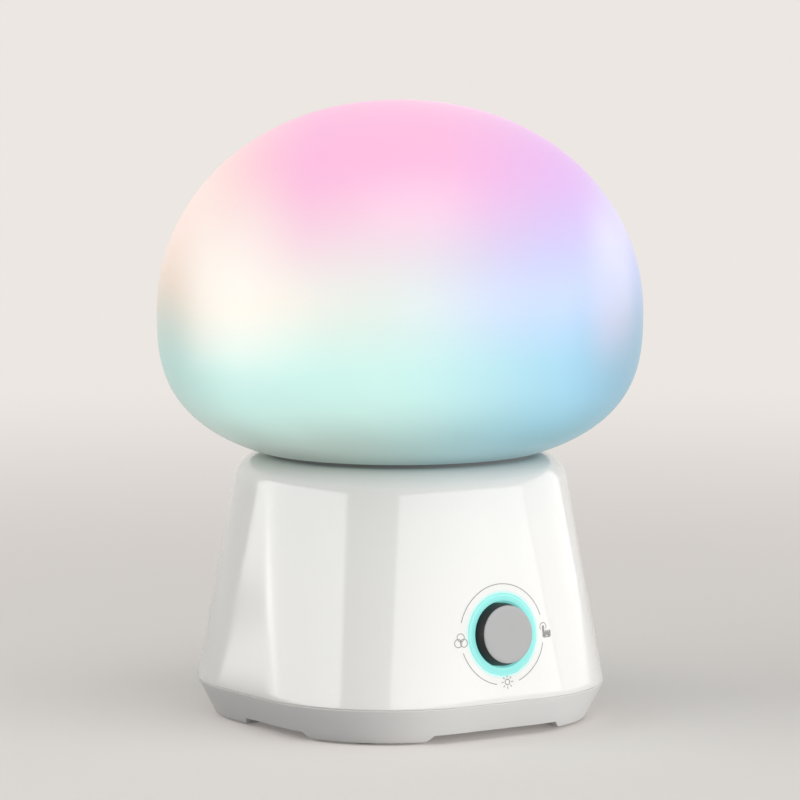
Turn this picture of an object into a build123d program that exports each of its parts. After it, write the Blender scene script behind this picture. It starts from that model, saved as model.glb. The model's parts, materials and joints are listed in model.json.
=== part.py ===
from build123d import *
import math
import os

# A desk night light: a frosted dome on a tapered rounded-square base, with one knob on the
# front that turns without end and presses in. All lengths are in millimetres and all angles
# in degrees. The origin is on the table under the middle of the lamp, +Z is up, and the
# knob is on the -Y side.

# Clearances
OVERRUN = 1.0
LOOSE_GAP = 0.4
FIT_GAP = 0.2
SLIP_GAP = 0.05

# Frosted dome
DOME_WIDTH = 120.9
DOME_WIDEST_RISE = 34.6
DOME_RISE = 52.1
DOME_DROP = 38.45
DOME_WALL = 2.0
DOME_RIM_ROUND = 0.6
DOME_NECK_RADIUS = 31.0
DOME_NECK_WALL = 2.0
DOME_NECK_DEPTH = 6.5
DOME_LUG_REACH = 2.0
DOME_LUG_WIDTH = 11.0
DOME_LUG_THICKNESS = 1.5
UPPER_POWER_SHARES = (2.1, 2.0)
LOWER_POWER_SHARES = (2.56, 2.83)
PROFILE_POINTS = 11

# Base: upper housing
SEAM_HEIGHT = 9.2
SHOULDER_HEIGHT = 66.0
HOUSING_WIDTH_LOW = 93.0
HOUSING_FLAT_LOW = 22.2
HOUSING_FLAT_TOP = 1.5
NECK_SHOULDER = 9.1
HOUSING_WALL = 2.2
SHOULDER_ROUND = 7.0
SEAM_ROUND = 0.5
CORNER_BOSS_INSET = 18.5
CORNER_BOSS_RADIUS = 3.5
CORNER_BOSS_TOP = 26.0
CORNER_RIB_THICKNESS = 2.0

# Base: lower plinth
FOOT_HEIGHT = 0.4
FOOT_INSET = 5.0
FOOT_FLAT = 24.6
ARCH_HEIGHT = 2.1
ARCH_PAD_ROOM = 10.0
ARCH_FLARE = 1.8
SIDE_ARCH_PAD_ROOM = 8.8
SIDE_ARCH_REAR = 4.8
PLINTH_FLOOR = 1.8
PLINTH_WALL = 2.2
LIP_TOP = 11.4
LIP_DEPTH = 5.4
LIP_THICKNESS = 1.4
PLINTH_POST_RADIUS = 4.4
PAD_RADIUS = 5.5
PAD_THICKNESS = 1.5
SCREW_SEAT_HEIGHT = 5.0

# Seal between dome and base
GASKET_WIDTH = 1.4
GASKET_THICKNESS = 1.0

# Light carrier, heat spreader and light board inside the dome
CARRIER_FLANGE_THICKNESS = 2.0
CARRIER_FLANGE_REACH = 6.0
CARRIER_RISE = 3.0
CARRIER_WALL = 1.6
CARRIER_ROOF = 2.0
CARRIER_BOSS_COUNT = 4
CARRIER_BOSS_REACH = 3.6
CARRIER_BOSS_LENGTH = 3.8
CARRIER_BOSS_ANGLE = 45.0
CARRIER_BOSS_RADIUS = 2.6
SPREADER_INSET = 1.8
SPREADER_THICKNESS = 1.5
LIGHT_BOARD_INSET = 1.0
BOARD_THICKNESS = 1.6
CABLE_HOLE_RADIUS = 5.4
COLOUR_LIGHT_COUNT = 12
COLOUR_LIGHT_RING_SHARE = 0.7421875
COLOUR_LIGHT_SIDE = 5.0
COLOUR_LIGHT_HEIGHT = 1.6
COLOUR_LIGHT_WELL_RADIUS = 2.0
COLOUR_LIGHT_WELL_DEPTH = 0.3
WHITE_LIGHT_COUNT = 8
WHITE_LIGHT_RING_SHARE = 0.33203125
WHITE_LIGHT_LENGTH = 3.5
WHITE_LIGHT_WIDTH = 2.8
WHITE_LIGHT_HEIGHT = 0.8
LIGHT_SCREW_COUNT = 3
LIGHT_SCREW_RING_SHARE = 0.53125
LIGHT_SCREW_ANGLE = 45.0

# Battery cradle and its cells
CELL_SIDE_ROOM = 26.8
CELL_END_ROOM = 24.8
CELL_LENGTH_SHARES = (0.75, 0.25)
CELL_HEAD_ROOM = 4.0
CELL_BUTTON_RADIUS = 3.0
CELL_BUTTON_HEIGHT = 0.8
CELL_EDGE_ROUND = 0.8
CONTACT_THICKNESS = 0.5
CONTACT_RISE = 4.3
CRADLE_FLOOR = 1.5
CRADLE_WALL = 1.8
CRADLE_END_WALL = 3.6
CRADLE_SIDE_RISE = 4.2
CRADLE_POST_WIDTH = 5.0
CRADLE_POST_INSET = 3.7
CRADLE_EAR_HEIGHT = 8.0
CRADLE_EAR_THICKNESS = 2.0
CRADLE_EAR_RADIUS = 3.2
CRADLE_EAR_REACH = 4.2

# Main board and what it carries
MAIN_BOARD_EDGE = 0.8
TONGUE_WIDTH = 17.0
SOCKET_LENGTH = 7.5
SOCKET_WIDTH = 5.0
SOCKET_HEIGHT = 4.0
CHIP_SIDE = 6.0
CHIP_HEIGHT = 1.1
CHIP_X = 12.0
CHIP_Y = 4.0
COIL_SIDE = 7.0
COIL_HEIGHT = 4.2
COIL_ROUND = 1.2
COIL_X = -3.0
COIL_Y = -5.0
CAPACITOR_RADIUS = 3.2
CAPACITOR_HEIGHT = 8.5
CAPACITOR_X = 22.0
CAPACITOR_Y = -4.0
CAPACITOR_PITCH = 8.4
LIGHT_SOCKET_X = 2.0
LIGHT_SOCKET_INSET = 8.5
CONTROL_SOCKET_X = 11.0
CONTROL_SOCKET_Y = -8.0
BATTERY_SOCKET_X = -24.0
BATTERY_SOCKET_Y = 0.0

# Charging inlet on the back
INLET_WIDTH = 8.94
INLET_HEIGHT = 3.26
INLET_DEPTH = 7.35
INLET_WALL = 0.3
INLET_SETBACK = 0.9
INLET_BACK = 1.0
INLET_TONGUE_WIDTH = 6.69
INLET_TONGUE_HEIGHT = 0.7
INLET_TONGUE_LENGTH = 5.2
INLET_GAP = 0.3

# Knob, light ring and encoder, placed along the knob's own axis from the front face
KNOB_HEIGHT = 25.8
KNOB_RADIUS = 7.7
KNOB_FRONT_RADIUS = 7.15
KNOB_REACH = 2.3
KNOB_DEPTH = 3.6
KNOB_WALL = 1.4
KNOB_END_WALL = 1.6
KNOB_HUB_RADIUS = 5.0
KNOB_HUB_DEPTH = 4.6
CAP_RADIUS = 7.05
CAP_THICKNESS = 0.4
CAP_BEVEL = 0.2
CAP_SPIGOT_RADIUS = 5.8
CAP_SPIGOT_DEPTH = 0.7
PRESS_TRAVEL = 0.5
RING_RADIUS = 9.9
RING_REACH = 0.25
RING_DEPTH = 6.6
RING_FLANGE_RADIUS = 11.9
RING_FLANGE_THICKNESS = 1.1
RING_SEAT_GAP = 0.3
RING_EDGE_ROUND = 0.2
CONTROL_BOARD_DEPTH = 8.0
CONTROL_BOARD_LENGTH = 37.0
CONTROL_BOARD_HEIGHT = 24.0
CONTROL_BOSS_X = 15.6
CONTROL_BOSS_RADIUS = 2.4
CONTROL_PLUG_X = 11.0
CONTROL_PLUG_Y = 7.5
RING_LIGHT_COUNT = 6
RING_LIGHT_RING = 9.0
RING_LIGHT_LENGTH = 2.0
RING_LIGHT_WIDTH = 1.25
RING_LIGHT_HEIGHT = 0.8
ENCODER_SIDE = 12.0
ENCODER_DEPTH = 6.5
ENCODER_FRONT_WALL = 1.3
ROTOR_RADIUS = 4.5
ROTOR_THICKNESS = 3.0
BUSHING_RADIUS = 3.5
BUSHING_REACH = 4.0
SHAFT_RADIUS = 3.0
SHAFT_FRONT = 0.4
SHAFT_BACK = 14.4
SHAFT_FLAT_DEPTH = 1.5
SHAFT_FLAT_LENGTH = 7.0
NUT_ACROSS_FLATS = 10.0
NUT_THICKNESS = 1.6
WASHER_RADIUS = 5.4
WASHER_THICKNESS = 0.5
SWITCH_RADIUS = 2.6
SWITCH_THICKNESS = 0.4
SWITCH_WELL_RADIUS = 3.3

# Cables
LIGHT_CABLE_DIAMETER = 3.0
CONTROL_CABLE_DIAMETER = 2.4
BATTERY_LEAD_DIAMETER = 1.5
BATTERY_LEAD_PITCH = 3.0
BATTERY_LEAD_RISE = 5.5
BATTERY_LEAD_START = 1.4
BATTERY_LEAD_SHIFT = 1.75
BATTERY_LEAD_OUTSIDE = 2.0
BATTERY_LEAD_LEAN = 1.6
CONTROL_CABLE_RUN = 8.0
CONTROL_CABLE_RISE = 12.0
CONTROL_CABLE_LEAN = 5.0
CABLE_BEND_SHARE = 0.45

# Screws: head radius, head height, shank radius and length under the head
HOUSING_SCREW = {"head": 2.4, "rise": 1.8, "shank": 1.3, "length": 16.0}
SMALL_SCREW = {"head": 1.9, "rise": 1.4, "shank": 1.0, "length": 5.0}
CRADLE_SCREW = {"head": 2.2, "rise": 1.6, "shank": 1.2, "length": 6.5}
RECESS_WIDTH_SHARE = 0.36
RECESS_LENGTH_SHARE = 1.35
RECESS_DEPTH_SHARE = 0.6

# Heights and places that follow from the sizes above
FLOOR_TOP = ARCH_HEIGHT + PLINTH_FLOOR
HOUSING_WIDTH_TOP = 2 * (DOME_NECK_RADIUS + NECK_SHOULDER)
HOUSING_CORNER_LOW = (HOUSING_WIDTH_LOW - HOUSING_FLAT_LOW) / 2
HOUSING_CORNER_TOP = (HOUSING_WIDTH_TOP - HOUSING_FLAT_TOP) / 2
FOOT_WIDTH = HOUSING_WIDTH_LOW - 2 * FOOT_INSET
FOOT_CORNER = (FOOT_WIDTH - FOOT_FLAT) / 2
CORNER_BOSS_OFFSET = HOUSING_WIDTH_LOW / 2 - CORNER_BOSS_INSET
ARCH_HALF_WIDTH = CORNER_BOSS_OFFSET - ARCH_PAD_ROOM
SIDE_ARCH_FRONT = CORNER_BOSS_OFFSET - SIDE_ARCH_PAD_ROOM
CEILING = SHOULDER_HEIGHT - HOUSING_WALL
DOME_UNDERSIDE = SHOULDER_HEIGHT + GASKET_THICKNESS
DOME_WIDEST_HEIGHT = DOME_UNDERSIDE + DOME_WIDEST_RISE
PAD_TOP = PAD_THICKNESS
CARRIER_TOP = DOME_UNDERSIDE + CARRIER_RISE
CARRIER_FLANGE_TOP = CEILING - CARRIER_BOSS_LENGTH
CARRIER_FLANGE_HEIGHT = CARRIER_FLANGE_TOP - CARRIER_FLANGE_THICKNESS
CARRIER_FLANGE_RADIUS = DOME_NECK_RADIUS + CARRIER_FLANGE_REACH
CARRIER_BOSS_RING = DOME_NECK_RADIUS + CARRIER_BOSS_REACH
CARRIER_RADIUS = DOME_NECK_RADIUS - DOME_NECK_WALL - LOOSE_GAP - FIT_GAP
SPREADER_RADIUS = CARRIER_RADIUS - SPREADER_INSET
SPREADER_TOP = CARRIER_TOP + SPREADER_THICKNESS
LIGHT_BOARD_RADIUS = SPREADER_RADIUS - LIGHT_BOARD_INSET
COLOUR_LIGHT_RING = LIGHT_BOARD_RADIUS * COLOUR_LIGHT_RING_SHARE
WHITE_LIGHT_RING = LIGHT_BOARD_RADIUS * WHITE_LIGHT_RING_SHARE
LIGHT_SCREW_RING = LIGHT_BOARD_RADIUS * LIGHT_SCREW_RING_SHARE
LIGHT_BOARD_TOP = SPREADER_TOP + BOARD_THICKNESS
CRADLE_HALF_WIDTH = HOUSING_WIDTH_LOW / 2 - CELL_SIDE_ROOM
CELL_RADIUS = (CRADLE_HALF_WIDTH - CRADLE_WALL / 2) / 2 - FIT_GAP
LOW_SHARE, TOP_SHARE = CELL_LENGTH_SHARES
CELL_LENGTH = LOW_SHARE * HOUSING_WIDTH_LOW + TOP_SHARE * HOUSING_WIDTH_TOP - CELL_END_ROOM
CELL_AXIS_HEIGHT = FLOOR_TOP + CRADLE_FLOOR + FIT_GAP + CELL_RADIUS
CELL_AXIS_OFFSET = CELL_RADIUS + FIT_GAP + CRADLE_WALL / 2
CONTACT_WIDTH = CELL_RADIUS - FIT_GAP
CRADLE_TOP = CELL_AXIS_HEIGHT + CRADLE_SIDE_RISE
CRADLE_POST_TOP = CELL_AXIS_HEIGHT + CELL_RADIUS + CELL_HEAD_ROOM
CRADLE_POST_OFFSET = CRADLE_HALF_WIDTH - CRADLE_POST_INSET
CRADLE_BAY_HALF = CELL_LENGTH / 2 + CELL_BUTTON_HEIGHT + CONTACT_THICKNESS
CRADLE_HALF_LENGTH = CRADLE_BAY_HALF + CRADLE_END_WALL
CRADLE_POST_X = CRADLE_BAY_HALF + CRADLE_END_WALL / 2
CRADLE_EAR_Y = CRADLE_HALF_WIDTH + CRADLE_EAR_REACH
MAIN_BOARD_TOP = CRADLE_POST_TOP + BOARD_THICKNESS
MAIN_BOARD_LENGTH = 2 * (CRADLE_HALF_LENGTH + MAIN_BOARD_EDGE)
MAIN_BOARD_WIDTH = 2 * (CRADLE_HALF_WIDTH - FIT_GAP)
LIGHT_SOCKET_Y = MAIN_BOARD_WIDTH / 2 - LIGHT_SOCKET_INSET
SOCKET_TOP = MAIN_BOARD_TOP + SOCKET_HEIGHT
RING_BORE = KNOB_RADIUS + LOOSE_GAP
ENCODER_FRONT = CONTROL_BOARD_DEPTH + BOARD_THICKNESS
ENCODER_BACK = ENCODER_FRONT + ENCODER_DEPTH
ROTOR_FRONT = ENCODER_FRONT + ENCODER_FRONT_WALL + FIT_GAP
ROTOR_BACK = ROTOR_FRONT + ROTOR_THICKNESS
SWITCH_FRONT = SHAFT_BACK + PRESS_TRAVEL + SLIP_GAP
FACE_LEAN = math.atan((HOUSING_WIDTH_LOW - HOUSING_WIDTH_TOP) / 2 / (SHOULDER_HEIGHT - SEAM_HEIGHT))
RISE_SHARE = math.sin(FACE_LEAN)
REACH_SHARE = math.cos(FACE_LEAN)


def body_half_width(height):
    """Half the width across the housing's flats at a height."""
    share = (height - SEAM_HEIGHT) / (SHOULDER_HEIGHT - SEAM_HEIGHT)
    return (HOUSING_WIDTH_LOW + share * (HOUSING_WIDTH_TOP - HOUSING_WIDTH_LOW)) / 2


def body_corner(height):
    """Corner radius of the housing's outline at a height."""
    share = (height - SEAM_HEIGHT) / (SHOULDER_HEIGHT - SEAM_HEIGHT)
    return HOUSING_CORNER_LOW + share * (HOUSING_CORNER_TOP - HOUSING_CORNER_LOW)


def body_outline(height, inset=0, level=None):
    """Housing outline of one height, drawn in by an inset and laid at that or another level."""
    side = 2 * (body_half_width(height) - inset)
    outline = RectangleRounded(side, side, body_corner(height) - inset)
    return Pos(0, 0, height if level is None else level) * outline


def disc(radius, bottom, top, x=0, y=0):
    """Upright cylinder between two heights."""
    return Pos(x, y, (bottom + top) / 2) * Cylinder(radius, top - bottom)


def ring(outer, inner, bottom, top):
    """Upright tube between two heights."""
    return disc(outer, bottom, top) - disc(inner, bottom - OVERRUN, top + OVERRUN)


def block(length, width, bottom, top, x=0, y=0):
    """Upright block between two heights."""
    return Pos(x, y, (bottom + top) / 2) * Box(length, width, top - bottom)


def screw_hole(size, gap, bottom, top, x=0, y=0):
    """Hole for a screw's shank, run past both faces."""
    return disc(size["shank"] + gap, bottom - OVERRUN, top + OVERRUN, x, y)


def square_places(offset):
    """The four places on the diagonals of a square."""
    return [(x, y) for x in (-offset, offset) for y in (-offset, offset)]


def ring_places(radius, count, turn=0):
    """Even places on a circle, each with its angle."""
    angles = [turn + 360 * index / count for index in range(count)]
    return [(radius * math.cos(math.radians(a)), radius * math.sin(math.radians(a)), a) for a in angles]


def post_places():
    """The four places of the cradle's posts."""
    return [(x, y) for x in (-CRADLE_POST_X, CRADLE_POST_X)
            for y in (-CRADLE_POST_OFFSET, CRADLE_POST_OFFSET)]


def carrier_places():
    """The places of the light carrier's screws, each with its angle."""
    return ring_places(CARRIER_BOSS_RING, CARRIER_BOSS_COUNT, CARRIER_BOSS_ANGLE)


def group(solids):
    """Several separate solids as one node."""
    return Compound(children=list(solids))


def screw(size):
    """Cross-head screw: shank up from the origin, head below it."""
    body = disc(size["shank"], 0, size["length"]) + disc(size["head"], -size["rise"], 0)
    recess_depth = size["rise"] * RECESS_DEPTH_SHARE
    recess_width = size["head"] * RECESS_WIDTH_SHARE
    recess_length = size["head"] * RECESS_LENGTH_SHARE
    for length, width in ((recess_length, recess_width), (recess_width, recess_length)):
        body -= block(length, width, -size["rise"] - OVERRUN, -size["rise"] + recess_depth)
    return body


def flipped(part):
    """The same part upside down."""
    return Rot(180, 0, 0) * part


def knob_plane():
    """Plane on the front face at the knob's centre, facing out along the knob's axis."""
    origin = (0, -body_half_width(KNOB_HEIGHT), KNOB_HEIGHT)
    return Plane(origin=origin, x_dir=(1, 0, 0), z_dir=(0, -REACH_SHARE, RISE_SHARE))


def knob_point(x, up, out):
    """A point given along the front face and out from it, in the lamp's frame."""
    back = body_half_width(KNOB_HEIGHT)
    y = -back + up * RISE_SHARE - out * REACH_SHARE
    return Vector(x, y, KNOB_HEIGHT + up * REACH_SHARE + out * RISE_SHARE)


def dome_upper_points(inset):
    """Points up the dome's upper half from its widest ring to the crown."""
    points = []
    for index in range(PROFILE_POINTS):
        along = math.sin(math.pi / 2 * index / (PROFILE_POINTS - 1))
        across = (1 - along ** UPPER_POWER_SHARES[1]) ** (1 / UPPER_POWER_SHARES[0])
        points.append(((DOME_WIDTH / 2 - inset) * across, DOME_WIDEST_HEIGHT + (DOME_RISE - inset) * along))
    return points


def dome_radius(height, inset):
    """Radius of the dome's lower half at a height, drawn in by an inset."""
    depth = (DOME_WIDEST_HEIGHT - height) / (DOME_DROP - inset)
    across = (1 - depth ** LOWER_POWER_SHARES[1]) ** (1 / LOWER_POWER_SHARES[0])
    return (DOME_WIDTH / 2 - inset) * across


def dome_lower_points(floor, inset):
    """Points down the dome's lower half from its widest ring to a floor height."""
    points = []
    for index in range(PROFILE_POINTS):
        height = DOME_WIDEST_HEIGHT + (floor - DOME_WIDEST_HEIGHT) * index / (PROFILE_POINTS - 1)
        points.append((dome_radius(height, inset), height))
    return points


def dome_side(floor, inset):
    """Curve from the crown to a floor height, drawn in by an inset."""
    upper = dome_upper_points(inset)
    lower = dome_lower_points(floor, inset)
    crown = Spline(*reversed(upper), tangents=((1, 0), (0, -1)))
    skirt_end = (lower[-1][0] - lower[-2][0], lower[-1][1] - lower[-2][1])
    skirt = Spline(*lower, tangents=((0, -1), skirt_end))
    return crown + skirt, upper[-1], lower[-1]


def dome_shade():
    """Frosted shell with a flat underside, a neck and four snap lugs."""
    floor_top = DOME_UNDERSIDE + DOME_WALL
    neck_bottom = DOME_UNDERSIDE - DOME_NECK_DEPTH
    neck_bore = DOME_NECK_RADIUS - DOME_NECK_WALL
    outside, crown_out, rim = dome_side(DOME_UNDERSIDE, 0)
    inside, crown_in, shelf = dome_side(floor_top, DOME_WALL)
    foot = Polyline(rim, (DOME_NECK_RADIUS, DOME_UNDERSIDE), (DOME_NECK_RADIUS, neck_bottom),
                    (neck_bore, neck_bottom), (neck_bore, floor_top), shelf)
    profile = make_face(Plane.XZ * (outside + foot + inside + Line(crown_in, crown_out)))
    shell = revolve(profile, axis=Axis.Z)
    rims = shell.edges().filter_by(GeomType.CIRCLE).filter_by_position(
        Axis.Z, DOME_UNDERSIDE - SLIP_GAP, DOME_UNDERSIDE + SLIP_GAP)
    shell = fillet(rims.sort_by(SortBy.RADIUS)[-1], DOME_RIM_ROUND)
    lug_top = CEILING - FIT_GAP
    lugs = ring(DOME_NECK_RADIUS + DOME_LUG_REACH, neck_bore, lug_top - DOME_LUG_THICKNESS, lug_top)
    span = DOME_WIDTH
    cross = block(span, DOME_LUG_WIDTH, 0, span) + block(DOME_LUG_WIDTH, span, 0, span)
    return shell + (lugs & cross)


def dome_gasket():
    """Flat ring that seals the dome's underside on the shoulder."""
    inner = DOME_NECK_RADIUS + LOOSE_GAP + FIT_GAP
    return ring(inner + GASKET_WIDTH, inner, SHOULDER_HEIGHT, DOME_UNDERSIDE)


def corner_bosses():
    """Screw bosses in the housing's corners, each with a rib to the wall."""
    reach = body_half_width(SEAM_HEIGHT)
    bosses = Part()
    for x, y in square_places(CORNER_BOSS_OFFSET):
        bosses += disc(CORNER_BOSS_RADIUS, SEAM_HEIGHT, CORNER_BOSS_TOP, x, y)
        turn = math.degrees(math.atan2(y, x))
        rib = block(reach, CORNER_RIB_THICKNESS, LIP_TOP + FIT_GAP, CORNER_BOSS_TOP,
                    CORNER_BOSS_OFFSET * math.sqrt(2) + reach / 2)
        bosses += Rot(0, 0, turn) * rib
    half_wall = HOUSING_WALL / 2
    limit = loft([body_outline(SEAM_HEIGHT, half_wall), body_outline(CORNER_BOSS_TOP, half_wall)])
    return bosses & limit


def carrier_bosses():
    """Bosses that hang from the shoulder and hold the light carrier."""
    return [disc(CARRIER_BOSS_RADIUS, CARRIER_FLANGE_TOP, CEILING + SLIP_GAP, x, y)
            for x, y, _ in carrier_places()]


def control_bosses():
    """Two bosses behind the front wall that hold the control board."""
    depth = -HOUSING_WALL - SLIP_GAP
    return [knob_plane() * disc(CONTROL_BOSS_RADIUS, -CONTROL_BOARD_DEPTH, depth, x)
            for x in (-CONTROL_BOSS_X, CONTROL_BOSS_X)]


def housing_bores():
    """Every screw bore of the housing."""
    shank = HOUSING_SCREW["shank"] + SLIP_GAP
    bore_top = SCREW_SEAT_HEIGHT + HOUSING_SCREW["length"] + LOOSE_GAP
    bores = []
    for x, y in square_places(CORNER_BOSS_OFFSET):
        bores.append(disc(shank, SEAM_HEIGHT - OVERRUN, bore_top, x, y))
    small = SMALL_SCREW["shank"] + SLIP_GAP
    carrier_top = CARRIER_FLANGE_HEIGHT + SMALL_SCREW["length"] + FIT_GAP
    for x, y, _ in carrier_places():
        bores.append(disc(small, CARRIER_FLANGE_TOP - OVERRUN, carrier_top, x, y))
    control_end = SMALL_SCREW["length"] - ENCODER_FRONT + FIT_GAP
    for x in (-CONTROL_BOSS_X, CONTROL_BOSS_X):
        bores.append(knob_plane() * disc(small, -CONTROL_BOARD_DEPTH - OVERRUN, control_end, x))
    return bores


def inlet_height():
    """Height of the charging inlet's middle."""
    return MAIN_BOARD_TOP + INLET_HEIGHT / 2


def inlet_mouth():
    """How far back the inlet's mouth is, just inside the back face."""
    return body_half_width(inlet_height()) - INLET_SETBACK


def pill(width, height, front, back):
    """Solid with a rounded-end section, along Y at the inlet's height."""
    section = SlotOverall(width, height)
    plane = Plane(origin=(0, back, inlet_height()), x_dir=(1, 0, 0), z_dir=(0, -1, 0))
    return extrude(plane * section, amount=back - front)


def upper_housing():
    """White tapered shell with the holes for dome, knob and charging inlet."""
    outer = loft([body_outline(SEAM_HEIGHT), body_outline(SHOULDER_HEIGHT)])
    outer = fillet(outer.faces().sort_by(Axis.Z)[-1].edges(), SHOULDER_ROUND)
    outer = fillet(outer.faces().sort_by(Axis.Z)[0].edges(), SEAM_ROUND)
    cavity = loft([body_outline(SEAM_HEIGHT - OVERRUN, HOUSING_WALL), body_outline(CEILING, HOUSING_WALL)])
    cavity = fillet(cavity.faces().sort_by(Axis.Z)[-1].edges(), SHOULDER_ROUND - HOUSING_WALL)
    shell = outer - cavity + corner_bosses()
    for boss in carrier_bosses() + control_bosses():
        shell += boss
    shell -= disc(DOME_NECK_RADIUS + LOOSE_GAP, CEILING - OVERRUN, SHOULDER_HEIGHT + OVERRUN)
    shell -= knob_plane() * disc(RING_RADIUS + FIT_GAP, -HOUSING_WALL - OVERRUN, OVERRUN)
    back = body_half_width(inlet_height())
    shell -= pill(INLET_WIDTH + 2 * INLET_GAP, INLET_HEIGHT + 2 * INLET_GAP,
                  back - 2 * HOUSING_WALL, back + OVERRUN)
    for bore in housing_bores():
        shell -= bore
    return shell


def flared_channel(start, stop):
    """Low channel along Y between two places on X, wider towards the floor."""
    low = FOOT_HEIGHT - OVERRUN
    flare = ARCH_FLARE / (ARCH_HEIGHT - FOOT_HEIGHT) * (ARCH_HEIGHT - low)
    outline = Polyline((start - flare, low), (stop + flare, low), (stop, ARCH_HEIGHT),
                       (start, ARCH_HEIGHT), close=True)
    return extrude(Plane.XZ * make_face(outline), amount=FOOT_WIDTH, both=True)


def arch_cutter():
    """Two crossed channels under the plinth that leave one foot at each corner."""
    along = flared_channel(-ARCH_HALF_WIDTH, ARCH_HALF_WIDTH)
    return along + Rot(0, 0, 90) * flared_channel(-SIDE_ARCH_FRONT, SIDE_ARCH_REAR)


def plinth_cavity():
    """Space inside the plinth above its floor."""
    share = (FLOOR_TOP - FOOT_HEIGHT) / (SEAM_HEIGHT - FOOT_HEIGHT)
    side = FOOT_WIDTH + share * (HOUSING_WIDTH_LOW - FOOT_WIDTH) - 2 * PLINTH_WALL
    corner = FOOT_CORNER + share * (HOUSING_CORNER_LOW - FOOT_CORNER) - PLINTH_WALL
    floor = Pos(0, 0, FLOOR_TOP) * RectangleRounded(side, side, corner)
    return loft([floor, body_outline(SEAM_HEIGHT, PLINTH_WALL)])


def lower_plinth():
    """Grey lower shell with four corner feet, a locating lip and screw posts."""
    foot = Pos(0, 0, FOOT_HEIGHT) * RectangleRounded(FOOT_WIDTH, FOOT_WIDTH, FOOT_CORNER)
    shell = loft([foot, body_outline(SEAM_HEIGHT)]) - plinth_cavity() - arch_cutter()
    lip_inset = HOUSING_WALL + FIT_GAP
    lip_bottom = LIP_TOP - LIP_DEPTH
    lip = extrude(body_outline(LIP_TOP, lip_inset, lip_bottom), amount=LIP_DEPTH)
    core = body_outline(LIP_TOP, lip_inset + LIP_THICKNESS, lip_bottom - OVERRUN)
    shell += lip - extrude(core, amount=LIP_DEPTH + 2 * OVERRUN)
    for x, y in square_places(CORNER_BOSS_OFFSET):
        shell += disc(PLINTH_POST_RADIUS, FLOOR_TOP - SLIP_GAP, SEAM_HEIGHT, x, y)
    for y in (-CRADLE_EAR_Y, CRADLE_EAR_Y):
        shell += disc(CRADLE_EAR_RADIUS, FLOOR_TOP - SLIP_GAP, CRADLE_EAR_HEIGHT, 0, y)
    for bore in plinth_bores():
        shell -= bore
    return shell


def plinth_bores():
    """Pad pockets and screw bores of the plinth."""
    bores = []
    for x, y in square_places(CORNER_BOSS_OFFSET):
        bores.append(disc(PAD_RADIUS + FIT_GAP, FOOT_HEIGHT - OVERRUN, PAD_TOP, x, y))
        bores.append(disc(HOUSING_SCREW["head"] + FIT_GAP, FOOT_HEIGHT, SCREW_SEAT_HEIGHT, x, y))
        bores.append(disc(HOUSING_SCREW["shank"] + FIT_GAP, FOOT_HEIGHT, SEAM_HEIGHT + OVERRUN, x, y))
    tip = CRADLE_EAR_HEIGHT + CRADLE_EAR_THICKNESS - CRADLE_SCREW["length"] - FIT_GAP
    for y in (-CRADLE_EAR_Y, CRADLE_EAR_Y):
        bores.append(disc(CRADLE_SCREW["shank"] + SLIP_GAP, tip, CRADLE_EAR_HEIGHT + OVERRUN, 0, y))
    return bores


def foot_pad(x, y):
    """Rubber pad that stands a little proud of its foot."""
    return disc(PAD_RADIUS, 0, PAD_TOP, x, y)


def housing_screws():
    """Four screws from the feet up into the housing."""
    return group(Pos(x, y, SCREW_SEAT_HEIGHT) * screw(HOUSING_SCREW)
                 for x, y in square_places(CORNER_BOSS_OFFSET))


def led_carrier():
    """Top-hat that holds the light board up inside the dome's neck."""
    hat = disc(CARRIER_FLANGE_RADIUS, CARRIER_FLANGE_HEIGHT, CARRIER_FLANGE_TOP)
    hat += disc(CARRIER_RADIUS, CARRIER_FLANGE_HEIGHT, CARRIER_TOP)
    hat -= disc(CARRIER_RADIUS - CARRIER_WALL, CARRIER_FLANGE_HEIGHT - OVERRUN, CARRIER_TOP - CARRIER_ROOF)
    hat -= disc(CABLE_HOLE_RADIUS, CARRIER_FLANGE_HEIGHT, CARRIER_TOP + OVERRUN)
    for x, y, _ in carrier_places():
        hat -= screw_hole(SMALL_SCREW, FIT_GAP, CARRIER_FLANGE_HEIGHT, CARRIER_FLANGE_TOP, x, y)
    for x, y, _ in ring_places(LIGHT_SCREW_RING, LIGHT_SCREW_COUNT, LIGHT_SCREW_ANGLE):
        hat -= screw_hole(SMALL_SCREW, SLIP_GAP, CARRIER_TOP - CARRIER_ROOF, CARRIER_TOP, x, y)
    return hat


def carrier_screws():
    """Four screws that hold the carrier under the shoulder."""
    return group(Pos(x, y, CARRIER_FLANGE_HEIGHT) * screw(SMALL_SCREW)
                 for x, y, _ in carrier_places())


def drilled_disc(radius, bottom, top):
    """Disc with the light board's screw holes."""
    plate = disc(radius, bottom, top)
    for x, y, _ in ring_places(LIGHT_SCREW_RING, LIGHT_SCREW_COUNT, LIGHT_SCREW_ANGLE):
        plate -= screw_hole(SMALL_SCREW, FIT_GAP, bottom, top, x, y)
    return plate


def heat_spreader():
    """Metal disc under the light board."""
    plate = drilled_disc(SPREADER_RADIUS, CARRIER_TOP, SPREADER_TOP)
    return plate - disc(CABLE_HOLE_RADIUS, CARRIER_TOP - OVERRUN, SPREADER_TOP + OVERRUN)


def led_board():
    """Round board that carries the lights."""
    return drilled_disc(LIGHT_BOARD_RADIUS, SPREADER_TOP, LIGHT_BOARD_TOP)


def led_board_screws():
    """Three screws through the light board into the carrier."""
    return group(Pos(x, y, LIGHT_BOARD_TOP) * flipped(screw(SMALL_SCREW))
                 for x, y, _ in ring_places(LIGHT_SCREW_RING, LIGHT_SCREW_COUNT, LIGHT_SCREW_ANGLE))


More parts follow.
